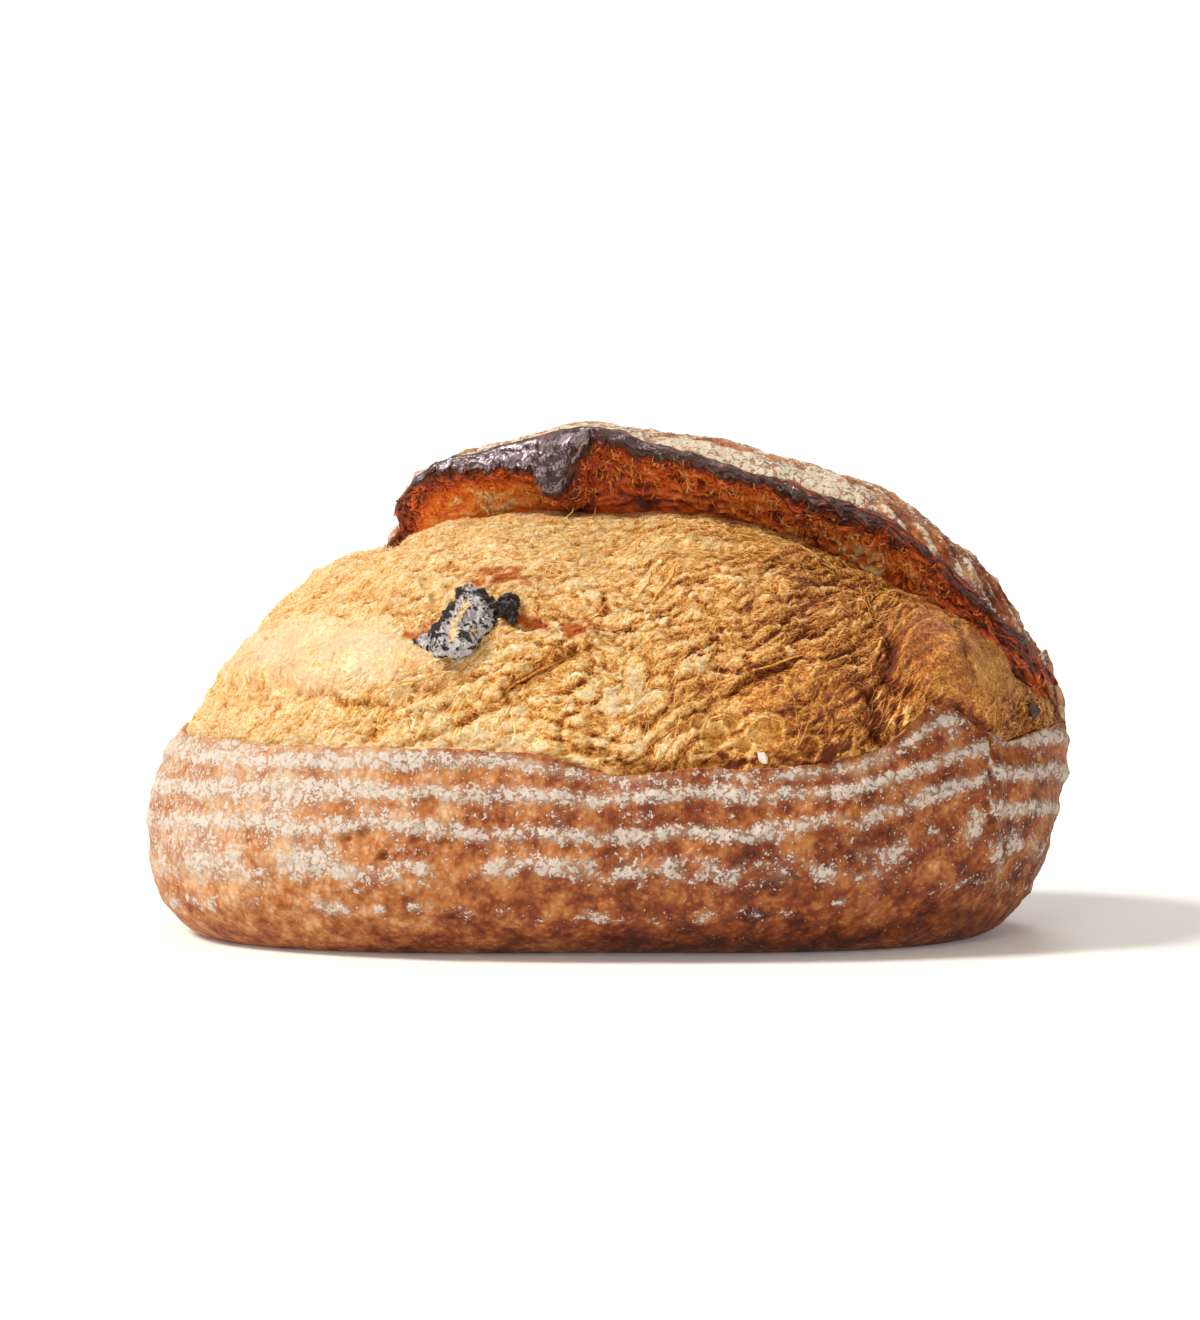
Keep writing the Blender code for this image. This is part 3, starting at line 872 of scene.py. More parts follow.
@dataclass(frozen=True)
class CrumbFinish:
    """Crumb that the oven stretched and toasted: satin threads of gluten, pale between and amber on the crests."""

    name: str = "stretched_toasted_crumb"
    stops: tuple[tuple[float, str], ...] = (
        (0.0, "#FFF0CA"),
        (0.2, "#FFDA92"),
        (0.42, "#F0B052"),
        (0.66, "#C67B2C"),
        (0.85, "#985016"),
        (1.0, "#6E2C05"),
    )
    blush: str = "#F6D3B0"
    caramel: str = "#CC8034"
    roughness: float = 0.5

    def build(self) -> bpy.types.Material:
        """Builds the material from the attributes toast, blush, stain, fibre and lay (mm along and across).

        Returns:
            the material.
        """
        material, tree = new_material(self.name)
        place = add_node(tree, "ShaderNodeTexCoord").outputs["Object"]
        lay = add_node(tree, "ShaderNodeAttribute", {"attribute_name": "lay"}).outputs["Vector"]
        toast, blush, stain, fibre = (
            add_node(tree, "ShaderNodeAttribute", {"attribute_name": name}).outputs["Fac"]
            for name in ("toast", "blush", "stain", "fibre")
        )
        # Threads of gluten, about 0.3 mm thick, are lines where noise is mid-way. One set lies 0.8 mm apart and
        # runs for 5 mm; a second and a shorter one cross it.
        crests = []
        for turn, spacing in ((0.0, (0.2, 1.1, 1.0)), (0.8, (0.3, 0.95, 1.0)), (-0.9, (0.5, 1.2, 1.0))):
            turned = add_node(
                tree, "ShaderNodeVectorRotate", {"rotation_type": "Z_AXIS", "Angle": turn}, {"Vector": lay}
            )
            stretch = add_node(
                tree, "ShaderNodeVectorMath", {"operation": "MULTIPLY", 1: spacing}, {0: turned.outputs[0]}
            )
            thread = add_node(
                tree, "ShaderNodeTexNoise", {"Scale": 1.0, "Detail": 4.0, "Roughness": 0.6, "Distortion": 1.3},
                {"Vector": stretch.outputs[0]},
            )
            off = add_node(tree, "ShaderNodeMath", {"operation": "SUBTRACT", 1: 0.5}, {0: thread.outputs["Fac"]})
            off = add_node(tree, "ShaderNodeMath", {"operation": "ABSOLUTE"}, {0: off.outputs[0]})
            crests.append(
                add_node(
                    tree, "ShaderNodeMapRange", {"From Min": 0.0, "From Max": 0.05, "To Min": 1.0, "To Max": 0.0},
                    {"Value": off.outputs[0]},
                ).outputs[0]
            )
        across = add_node(tree, "ShaderNodeMath", {"operation": "MAXIMUM"}, {0: crests[1], 1: crests[2]})
        crest = add_node(tree, "ShaderNodeMath", {"operation": "MAXIMUM"}, {0: crests[0], 1: across.outputs[0]})
        crumb = add_node(
            tree, "ShaderNodeTexNoise", {"Scale": 1500.0, "Detail": 5.0, "Roughness": 0.7}, {"Vector": place}
        )
        # The threads that run along are paler than the crumb, and those that cross them more toasted.
        pale = add_node(tree, "ShaderNodeMath", {"operation": "MULTIPLY", 1: -0.34}, {0: crests[0]})
        golden = add_node(
            tree, "ShaderNodeMath", {"operation": "MULTIPLY_ADD", 1: 0.32}, {0: across.outputs[0], 2: pale.outputs[0]}
        )
        shift = add_node(tree, "ShaderNodeMath", {"operation": "MULTIPLY"}, {0: golden.outputs[0], 1: fibre})
        brown = add_node(tree, "ShaderNodeMath", {"operation": "ADD"}, {0: toast, 1: shift.outputs[0]}).outputs[0]
        mottle = add_node(
            tree, "ShaderNodeTexNoise", {"Scale": 620.0, "Detail": 3.0, "Roughness": 0.6}, {"Vector": place}
        )
        # Specks of 0.7 mm and clouds of 1.6 mm, each with how much it darkens at most.
        for pattern, most in ((crumb, 0.3), (mottle, 0.09)):
            added = add_node(
                tree, "ShaderNodeMapRange", {"From Min": 0.3, "From Max": 0.7, "To Min": -most, "To Max": most},
                {"Value": pattern.outputs["Fac"]},
            )
            brown = add_node(tree, "ShaderNodeMath", {"operation": "ADD"}, {0: brown, 1: added.outputs[0]}).outputs[0]
        baked = add_node(tree, "ShaderNodeValToRGB", {"stops": self.stops}, {"Fac": brown})
        pink = add_node(
            tree, "ShaderNodeMix", {"data_type": "RGBA", 7: linear(self.blush)},
            {0: blush, 6: baked.outputs["Color"]},
        )
        colour = add_node(
            tree, "ShaderNodeMix", {"data_type": "RGBA", "blend_type": "MULTIPLY", 7: linear(self.caramel)},
            {0: stain, 6: pink.outputs[2]},
        )
        ridges = add_node(
            tree, "ShaderNodeBump", {"Strength": 0.8, "Distance": 0.0002}, {"Height": crest.outputs[0]}
        )
        grain = add_node(
            tree, "ShaderNodeBump", {"Strength": 0.8, "Distance": 0.0002},
            {"Height": crumb.outputs["Fac"], "Normal": ridges.outputs[0]},
        )
        shader = add_node(
            tree, "ShaderNodeBsdfPrincipled", {"IOR": 1.45, "Roughness": self.roughness, "Specular IOR Level": 0.5},
            {"Base Color": colour.outputs[2], "Normal": grain.outputs[0]},
        )
        add_node(tree, "ShaderNodeOutputMaterial", None, {"Surface": shader.outputs[0]})
        return material


@dataclass(frozen=True)
class EarFinish:
    """The torn underside of the ear: a glossy burnt lip over webs of red-brown and amber crumb."""

    name: str = "charred_torn_crumb"
    # Near 1 the lip runs to lilac grey: painted sheen of the glossy char, which the metallic glaze also takes as the
    # tint of its reflection.
    stops: tuple[tuple[float, str], ...] = (
        (0.0, "#FFE2A6"),
        (0.18, "#FFA030"),
        (0.36, "#F27812"),
        (0.54, "#CA520E"),
        (0.7, "#802E0E"),
        (0.86, "#2A100A"),
        (0.94, "#402B2E"),
        (1.0, "#8C8087"),
    )

    def build(self) -> bpy.types.Material:
        """Builds the material from the attribute char: 0 is pale crumb, 1 the burnt lip.

        Returns:
            the material.
        """
        material, tree = new_material(self.name)
        place = add_node(tree, "ShaderNodeTexCoord").outputs["Object"]
        char = add_node(tree, "ShaderNodeAttribute", {"attribute_name": "char"}).outputs["Fac"]
        web = add_node(
            tree, "ShaderNodeTexNoise", {"Scale": 480.0, "Detail": 6.0, "Roughness": 0.62, "Distortion": 0.8},
            {"Vector": place},
        )
        shift = add_node(
            tree, "ShaderNodeMapRange", {"From Min": 0.3, "From Max": 0.7, "To Min": 0.15, "To Max": -0.15},
            {"Value": web.outputs["Fac"]},
        )
        calm = add_node(
            tree, "ShaderNodeMapRange", {"From Min": 0.7, "From Max": 0.92, "To Min": 1.0, "To Max": 0.3},
            {"Value": char},
        )
        burn = add_node(
            tree, "ShaderNodeMath", {"operation": "MULTIPLY_ADD"}, {0: shift.outputs[0], 1: calm.outputs[0], 2: char}
        )
        # Pits of 0.6 mm let the dark show through the lip's grey, which is painted sheen.
        pit = add_node(
            tree, "ShaderNodeTexNoise", {"Scale": 1500.0, "Detail": 3.0, "Roughness": 0.6}, {"Vector": place}
        )
        pitted = add_node(
            tree, "ShaderNodeMapRange", {"From Min": 0.32, "From Max": 0.68, "To Min": -0.06, "To Max": 0.05},
            {"Value": pit.outputs["Fac"]},
        )
        burn = add_node(tree, "ShaderNodeMath", {"operation": "ADD"}, {0: burn.outputs[0], 1: pitted.outputs[0]})
        colour = add_node(tree, "ShaderNodeValToRGB", {"stops": self.stops}, {"Fac": burn.outputs[0]})
        rough = add_node(
            tree, "ShaderNodeMapRange", {"From Min": 0.8, "From Max": 0.95, "To Min": 0.6, "To Max": 0.32},
            {"Value": char},
        )
        bump = add_node(
            tree, "ShaderNodeBump", {"Distance": 0.0009}, {"Strength": calm.outputs[0], "Height": web.outputs["Fac"]}
        )
        grain = add_node(
            tree, "ShaderNodeBump", {"Strength": 0.25, "Distance": 0.0004},
            {"Height": pit.outputs["Fac"], "Normal": bump.outputs[0]},
        )
        # Burnt sugar and starch carbonised to a glaze that shines like graphite.
        glaze = add_node(
            tree, "ShaderNodeMapRange", {"From Min": 0.86, "From Max": 0.97, "To Max": 0.7}, {"Value": char}
        )
        shader = add_node(
            tree, "ShaderNodeBsdfPrincipled", {"IOR": 1.5, "Specular IOR Level": 0.8},
            {
                "Base Color": colour.outputs["Color"], "Roughness": rough.outputs[0], "Normal": grain.outputs[0],
                "Metallic": glaze.outputs[0],
            },
        )
        add_node(tree, "ShaderNodeOutputMaterial", None, {"Surface": shader.outputs[0]})
        return material


@dataclass(frozen=True)
class FlourFinish:
    """Loose wheat flour baked dry: dead matt, warm white."""

    name: str = "baked_wheat_flour"
    light: str = "#F5EEE5"
    shade: str = "#DCC9B4"

    def build(self) -> bpy.types.Material:
        """Builds the material: two whites mixed by noise of 1 mm grain.

        Returns:
            the material.
        """
        material, tree = new_material(self.name)
        place = add_node(tree, "ShaderNodeTexCoord").outputs["Object"]
        tint = add_node(tree, "ShaderNodeTexNoise", {"Scale": 900.0, "Detail": 3.0}, {"Vector": place})
        colour = add_node(
            tree, "ShaderNodeMix", {"data_type": "RGBA", 6: linear(self.shade), 7: linear(self.light)},
            {0: tint.outputs["Fac"]},
        )
        shader = add_node(
            tree, "ShaderNodeBsdfPrincipled", {"Roughness": 0.95, "Specular IOR Level": 0.2},
            {"Base Color": colour.outputs[2]},
        )
        add_node(tree, "ShaderNodeOutputMaterial", None, {"Surface": shader.outputs[0]})
        return material


@dataclass(frozen=True)
class FruitFinish:
    """Scorched dried fruit: near-black and glossy where bare, grey with flour and crumb in its wrinkles."""

    name: str = "scorched_dried_fruit"
    skin: str = "#1B0F0C"
    flour: str = "#EEEAEA"
    flour_thin: str = "#8B8892"
    crumb: str = "#F0CC92"

    def build(self) -> bpy.types.Material:
        """Builds the material from the attributes crumbed and dusted, with wrinkles of about 1 mm.

        Returns:
            the material.
        """
        material, tree = new_material(self.name)
        place = add_node(tree, "ShaderNodeTexCoord").outputs["Object"]
        crumbed, dusted = (
            add_node(tree, "ShaderNodeAttribute", {"attribute_name": name}).outputs["Fac"]
            for name in ("crumbed", "dusted")
        )
        fold = add_node(
            tree, "ShaderNodeTexNoise", {"Scale": 800.0, "Detail": 5.0, "Roughness": 0.65, "Distortion": 1.0},
            {"Vector": place},
        )
        grit = add_node(tree, "ShaderNodeTexNoise", {"Scale": 1700.0, "Detail": 4.0}, {"Vector": place})
        powder = add_node(
            tree, "ShaderNodeMath", {"operation": "MULTIPLY_ADD", 1: 1.3}, {0: grit.outputs["Fac"], 2: dusted}
        )
        dust = add_node(
            tree, "ShaderNodeMapRange", {"From Min": 0.88, "From Max": 1.25, "interpolation_type": "SMOOTHSTEP"},
            {"Value": powder.outputs[0]},
        )
        powdered = add_node(
            tree, "ShaderNodeMix", {"data_type": "RGBA", 6: linear(self.flour_thin), 7: linear(self.flour)},
            {0: fold.outputs["Fac"]},
        )
        greyed = add_node(
            tree, "ShaderNodeMix", {"data_type": "RGBA", 6: linear(self.skin)},
            {0: dust.outputs[0], 7: powdered.outputs[2]},
        )
        stuck = add_node(tree, "ShaderNodeMath", {"operation": "ADD"}, {0: crumbed, 1: grit.outputs["Fac"]})
        cover = add_node(
            tree, "ShaderNodeMapRange", {"From Min": 0.98, "From Max": 1.12, "interpolation_type": "SMOOTHSTEP"},
            {"Value": stuck.outputs[0]},
        )
        colour = add_node(
            tree, "ShaderNodeMix", {"data_type": "RGBA", 7: linear(self.crumb)},
            {0: cover.outputs[0], 6: greyed.outputs[2]},
        )
        rough = add_node(tree, "ShaderNodeMapRange", {"To Min": 0.16, "To Max": 0.7}, {"Value": dust.outputs[0]})
        bump = add_node(
            tree, "ShaderNodeBump", {"Strength": 1.0, "Distance": 0.0009}, {"Height": fold.outputs["Fac"]}
        )
        shader = add_node(
            tree, "ShaderNodeBsdfPrincipled", {"IOR": 1.45},
            {"Base Color": colour.outputs[2], "Roughness": rough.outputs[0], "Normal": bump.outputs[0]},
        )
        add_node(tree, "ShaderNodeOutputMaterial", None, {"Surface": shader.outputs[0]})
        return material


def dress(piece: bpy.types.Object, material: bpy.types.Material) -> None:
    """Gives a piece its material, makes it ride on the loaf's body and reports it.

    Args:
        piece: the piece.
        material: its material.
    """
    piece.data.materials.append(material)
    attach(piece, "root")
    LOG.info("%s: %d faces", piece.name, len(piece.data.polygons))


# Burst blisters at the left of the crust: place, radius and depth.
CRUST_HOLES = (
    (-71.2, 24.8, 1.2, 1.3),
    (-61.4, 19.9, 1.3, 1.8),
    (-66.4, 26.5, 1.6, 0.8),
    (-12.0, 9.0, 1.2, 0.8),
    (82.0, 40.0, 1.5, 1.0),
)


@dataclass
class Crust:
    """The baked crust: the front wall under the slash, and the back wall with the cap over it."""

    form: LoafForm
    rings: FlourRings
    finish: bpy.types.Material
    stations: int = 660
    wall_rows: int = 96
    base_rows: int = 9
    cap_rows: int = 150
    curl_rows: int = 26
    relief: Noise = field(default_factory=lambda: Noise(5))
    fold_step: float = 1.8
    fold_half_width: float = 7.0

    def _wall(self, angle: Grid, top: Grid) -> Grid:
        """The base from its middle out, round the foot and up the wall to its top.

        Args:
            angle: plan angle of each station.
            top: the wall's top there, in mm.

        Returns:
            points by station and row.
        """
        turn = np.linspace(0.0, 1.0, self.wall_rows + 1)[None, :]
        height = top[:, None] * turn**1.2
        spread = np.repeat(angle[:, None], self.wall_rows + 1, axis=1)
        wall = self.form.wall(spread, height, np.repeat(top[:, None], self.wall_rows + 1, axis=1))
        shares = np.linspace(0.0, 1.0, self.base_rows + 1)[:-1]
        base = wall[:, :1] * shares[None, :, None]
        return np.concatenate([base, wall], axis=1)

    def _roughness(self, grid: Grid, ridge: Grid, flour: Grid) -> Grid:
        """Relief: dough swells of 16 mm, blisters of 5 mm, pits of 1.5 mm, ring ridges and flour.

        Args:
            grid: points in mm.
            ridge: the height of the rings' ridges.
            flour: how thick the flour lies.

        Returns:
            the height at each point, in mm.
        """
        lumps = 1.1 * self.relief.smooth(grid / 16.0) + 0.45 * self.relief.fractal(grid / 5.0, 3)
        pits = 0.22 * self.relief.ridged(grid / 2.6, 2)
        clots = np.clip(flour - 0.35, 0, 1) * (0.35 + 0.5 * self.relief.fractal(grid / 1.6 + 3.0, 2))
        return lumps - pits + 0.55 * ridge + clots

    def _fold(self, grid: Grid) -> Grid:
        """The step where the left part of the crust laps over the right part.

        Args:
            grid: points in mm.

        Returns:
            the height at each point, in mm.
        """
        off = (grid[..., 0] - FOLD + 1.5 * self.relief.smooth(grid / 9.0)) / self.fold_half_width
        lap = -self.fold_step * np.tanh(6.0 * off) * np.exp(-(off**2))
        return np.where(grid[..., 1] < 0, lap * smooth_step((grid[..., 2] - 16.0) / 20.0), 0.0)

    def _toast(self, grid: Grid) -> Grid:
        """How brown the crust is: darker low down and to the right, paler at the left.

        Args:
            grid: points in mm.

        Returns:
            the toast at each point, 0 pale to 1 burnt.
        """
        across, up = seen(grid)
        low = np.exp(-np.clip(up, 0, None) / 9.0)
        tone = 0.49 + 0.16 * smooth_step((across + 60) / 80) - 0.12 * smooth_step((-40 - across) / 60)
        return tone + 0.13 * low + 0.24 * self.relief.fractal(grid / 8.0 + 50.0, 4, 0.6)

    def front(self, lines: SharedLines) -> bpy.types.Object:
        """Builds the wall under the slash, with its rim rolled in over the bloom's foot.

        Args:
            lines: the edges that the pieces share.

        Returns:
            the piece.
        """
        grid = self._wall(lines.front_angle, lines.front_top)
        flour, ridge = self.rings.on_wall(grid)
        floor = smooth_step(grid[..., 2] / 10.0)
        height = (self._roughness(grid, ridge, flour) + self._fold(grid)) * floor
        across, up = seen(grid)
        bare = np.exp(-(np.hypot((across + 66.5) / 6.5, (up - 23.0) / 5.5) ** 4))
        flour = flour * (1 - 0.75 * bare * (grid[..., 1] < 0))
        for place, level, radius, depth in CRUST_HOLES:
            far = np.hypot(across - place, up - level) / radius
            height -= (grid[..., 1] < 0) * depth * np.exp(-(far**4))
        grid = grid + grid_normals(grid) * height[..., None]
        roll = np.array(((0.3, 0.2), (0.8, 0.15), (1.5, -0.4), (2.2, -1.4), (2.8, -2.8)))
        top = grid[:, -1:]
        rim = np.repeat(top, len(roll), axis=1)
        rim[..., :2] += lines.ledge_in[:, None] * roll[None, :, :1]
        rim[..., 2] += roll[None, :, 1]
        toast = self._toast(grid)
        rim_flour = np.linspace(0.4, 0.05, len(roll))[None, :] * np.ones((len(top), 1))
        rim_toast = np.full(rim_flour.shape, 0.4)
        grid = np.concatenate([grid, rim], axis=1)
        values = {
            "flour": np.concatenate([flour, rim_flour], axis=1),
            "toast": np.concatenate([toast, rim_toast], axis=1),
        }
        return sheet_object("crust_front", grid, values, False)

    def back(self, lines: SharedLines) -> bpy.types.Object:
        """Builds the back wall with the cap over it, up to the lip of the ear.

        Args:
            lines: the edges that the pieces share.

        Returns:
            the piece.
        """
        wall = self._wall(lines.back_angle, lines.back_top)
        left, right = self.form.cap_round
        power = left + (right - left) * smooth_step(lines.share / self.form.cap_left_share)
        over = self.form.arch(lines.seam, lines.crown, np.linspace(0, math.pi / 2, self.cap_rows + 1), power)
        curl = self.form.arch(lines.lip, lines.crown, np.linspace(0, math.pi / 2, self.curl_rows + 1), 1.0)
        cap = np.concatenate([over, curl[:, -2::-1]], axis=1)
        grid = np.concatenate([wall, cap[:, 1:]], axis=1)
        flour, ridge = self.rings.on_wall(grid)
        _, up = grid_lengths(cap)
        cap_flour, cap_ridge = self.rings.on_cap(cap[:, 1:], up[:, 1:])
        count = cap_flour.shape[1]
        flour[:, -count:], ridge[:, -count:] = cap_flour, cap_ridge
        floor = smooth_step(grid[..., 2] / 10.0)
        lip_hold = smooth_step(np.linspace(0, 1, grid.shape[1])[::-1] / 0.02)[None, :]
        height = self._roughness(grid, ridge, flour) * floor * lip_hold
        toast = self._toast(grid)
        grid = grid - grid_normals(grid) * height[..., None]
        return sheet_object("crust_back", grid, {"flour": flour, "toast": toast}, True)

    def build(self) -> None:
        """Builds both halves."""
        share = np.linspace(0.0, 1.0, self.stations + 1)
        dress(self.front(SharedLines(self.form, share)), self.finish)
        coarse = np.linspace(0.0, 1.0, self.stations // 2 + 1)
        dress(self.back(SharedLines(self.form, coarse)), self.finish)


# Lobes of the bloom as the camera sees them: place, half sizes, rise, how smooth their skin is, and how much
# browner it is than beside them.
LOBES = (
    (54.5, 58.5, 18.5, 12.5, 3.8, 0.45, 0.07),
    (85.0, 76.5, 10.0, 15.0, 2.2, 0.8, 0.0),
    (99.0, 70.5, 16.5, 16.5, 5.0, 0.92, -0.14),
    (-78.6, 75.0, 30.0, 10.0, 1.3, 0.7, 0.0),
    (-29.5, 76.5, 10.0, 7.0, 1.6, 0.2, 0.0),
    (19.6, 53.0, 11.0, 8.0, 1.5, 0.1, 0.0),
    (-13.0, 53.0, 12.0, 6.5, 1.2, 0.3, 0.0),
    (54.0, 87.0, 16.0, 9.0, 0.8, 0.0, 0.07),
)
# Creases and laps of the bloom as the camera sees them: the line, how deep it cuts, its half width, and how far
# the dough on the line's left stands over it.
CREASES = (
    (((-28.7, 62.5), (-27.6, 65.8), (-24.8, 66.9), (-18.6, 71.5), (-13.1, 73.4), (-7.6, 75.9), (-1.4, 76.1)),
     2.4, 1.3, 1.7),
    (((-107.0, 67.4), (-96.9, 66.9), (-87.9, 68.0), (-83.2, 65.0), (-74.2, 63.9), (-71.2, 60.9), (-59.5, 62.5),
      (-50.5, 65.0), (-41.5, 68.0), (-29.5, 70.4)), 1.3, 1.1, 1.1),
    (((32.5, 63.8), (36.7, 66.6), (39.3, 69.3), (45.6, 71.0), (50.4, 72.6)), 2.3, 1.2, 1.3),
    (((73.1, 50.5), (73.4, 55.7), (72.6, 60.3), (70.4, 64.7), (67.1, 68.2)), 3.2, 1.6, 0.8),
    (((102.1, 53.8), (96.6, 58.9), (89.5, 62.2), (80.2, 65.0), (75.9, 68.2), (76.9, 72.0), (77.8, 76.1), (75.9, 80.2),
      (73.1, 84.6)), 2.6, 1.4, 0.3),
    (((95.5, 66.9), (92.8, 73.4), (91.7, 81.9)), 1.1, 0.8, 0.2),
    (((41.5, 99.3), (49.7, 100.7), (60.5, 96.6), (71.5, 92.5)), 0.9, 1.0, 0.5),
    (((-13.1, 50.2), (-2.2, 46.9), (11.5, 44.8), (25.1, 45.3), (38.8, 45.6), (52.4, 46.9), (66.0, 49.4)),
     1.2, 1.1, 0.4),
    (((-70.1, 50.2), (-59.5, 54.9), (-48.6, 59.2), (-41.5, 61.4)), 1.2, 1.3, 0.6),
    (((-56.8, 49.4), (-45.8, 54.3), (-34.9, 58.4), (-29.5, 60.9)), 1.2, 1.3, 0.6),
    (((-13.1, 56.5), (-11.5, 47.5)), 1.0, 1.1, 0.2),
    (((-4.9, 58.4), (-4.4, 46.7)), 1.0, 1.1, 0.2),
    (((9.6, 52.9), (12.8, 58.4), (19.6, 60.9), (27.8, 59.8), (31.9, 54.3)), 1.1, 1.1, 0.3),
    (((-83.8, 77.5), (-84.7, 73.5), (-86.8, 69.9)), 0.7, 0.6, 0.1),
)
# Burst gas bubbles: place and radius.
BUBBLES = (
    (29.2, 52.9, 3.6),
    (34.1, 57.0, 2.6),
    (42.8, 53.5, 4.6),
    (37.4, 50.2, 2.6),
    (25.1, 56.5, 2.4),
    (54.2, 49.7, 3.2),
    (-48.4, 94.7, 3.0),
    (-46.5, 91.0, 2.4),
)


# The threads of the crumb climb to the right by this angle.
THREAD_TILT = math.radians(27.0)


@dataclass
class Bloom:
    """The crumb that opened in the slash, from the ledge up to the root of the ear."""

    form: LoafForm
    finish: bpy.types.Material
    stations: int = 1200
    rows: int = 230
    lumps: Noise = field(default_factory=lambda: Noise(71))
    threads: Noise = field(default_factory=lambda: Noise(83))
    layers: Noise = field(default_factory=lambda: Noise(97))

    def _smooth(self) -> Grid:
        """Lofts the bloom's smooth arch, its foot tucked in behind the crust's rim.

        Returns:
            the arch's points, by station and row.
        """
        share = np.linspace(0.0, 1.0, self.stations + 1)
        lines = SharedLines(self.form, share)
        foot = lines.ledge.copy()
        foot[:, :2] += lines.ledge_in * 1.6
        foot[:, 2] -= 1.5
        rows = np.array(self.form.bloom_arch)
        power, crest = through(rows[:, 0], rows[:, 1:], share).T
        turn = np.linspace(0.0, math.pi / 2, self.rows + 1)
        grid = self.form.arch(foot, lines.root, turn, power)
        across = np.linspace(0.0, 1.0, self.rows + 1)[None, :]
        grid[..., 2] += crest[:, None] * np.sin(math.pi * across**2)
        return grid

    def _flow(self, along: Grid, up: Grid, tilt: float) -> tuple[Grid, Grid]:
        """Distances along and across the threads: turned by tilt, then pushed about by 24 mm noise.

        Args:
            along: distance along the surface, in mm.
            up: distance up it, in mm.
            tilt: the threads' climb, as an angle.

        Returns:
            the distances along and across them, in mm.
        """
        push = 3.6 * self.lumps.fractal(flat(along / 24.0, up / 20.0, 1.5), 2)
        pull = 3.0 * self.lumps.fractal(flat(along / 22.0, up / 18.0, 8.5), 2)
        x, z = along + push, up + pull
        return x * math.cos(tilt) + z * math.sin(tilt), z * math.cos(tilt) - x * math.sin(tilt)

    def build(self) -> Surface:
        """Builds the bloom and returns its surface, for the loose crumb.

        Returns:
            the surface.
        """
        grid = self._smooth()
        normal = grid_normals(grid)
        along, up = grid_lengths(grid)
        across, high = seen(grid)
        front = smooth_step((25.0 - grid[..., 1]) / 25.0)
        run, cross = self._flow(along, up, THREAD_TILT)
        calm = np.zeros(across.shape)
        height = 1.6 * self.lumps.smooth(flat(along / 26.0, up / 22.0)) + 1.1 * self.lumps.smooth(
            flat(along / 11.0, up / 8.0, 3.0)
        )
        browned = np.zeros(across.shape)
        for place, level, half, tall, rise, still, tone in LOBES:
            far = np.hypot((across - place) / half, (high - level) / tall)
            height += rise * front * np.exp(-(far**4)) * 0.9
            calm = np.maximum(calm, still * np.exp(-(far**4)))
            browned += tone * front * np.exp(-(far**4))
        for place, level, radius in BUBBLES:
            far = np.hypot(across - place, high - level) / radius
            calm = np.maximum(calm, 0.8 * np.exp(-((far / 0.95) ** 6)) * front)
        rough = 1.0 - calm

        twist = 0.9 * self.threads.smooth(flat(along / 3.4, up / 3.0, 21.0))
        twine = 0.7 * self.threads.smooth(flat(along / 3.0, up / 2.6, 27.0))
        bent = 1.7 * self.layers.fractal(flat(along / 5.0, up / 5.0, 33.0), 3)
        steps, torn, tint = self.layers.shingles((run + bent) / 9.0, (cross - bent + twine) / 5.2)
        small_steps, small_torn, small_tint = self.threads.shingles((run + 1.2 * twine) / 4.2, (cross + twist) / 1.8)
        tiny_steps, _, tiny_tint = self.lumps.shingles((run + 0.6 * twist) / 2.3, (cross + 0.6 * twine) / 1.0)
        strand = self.threads.ridged(flat((run + 1.5 * twist) / 9.0, (cross + 1.5 * twine) / 3.0), 1) ** 5
        second = self.layers.ridged(flat((run - cross) / 9.0, (cross + 0.4 * run + twine) / 4.0, 5.0), 1) ** 6
        curl = self.threads.fractal(flat(run / 3.0, cross / 2.2, 9.0), 2)
        puff = np.abs(self.lumps.fractal(flat(run / 14.0, cross / 8.0, 17.0), 2, 0.4))
        valley_shade = np.exp(-((puff / 0.07) ** 2))
        broad = 0.5 + 0.5 * smooth_step((across + 45.0) / 40.0) * smooth_step((108.0 - high) / 25.0)
        patch = smooth_step(0.5 + 0.8 * self.layers.fractal(flat(along / 17.0, up / 13.0, 39.0), 2))
        relief = broad * ((0.35 + 0.75 * patch) * steps + 1.25 * np.sqrt(puff)) + (0.12 + 0.28 * patch) * small_steps
        relief += 0.14 * tiny_steps + 0.22 * strand + 0.14 * second + 0.28 * curl
        height += rough * (relief - 1.2)
        hollow = np.clip(relief - blurred(relief, 4), -0.8, 0.5)
        dip = np.clip(relief - blurred(relief, 14), -1.2, 0.9)
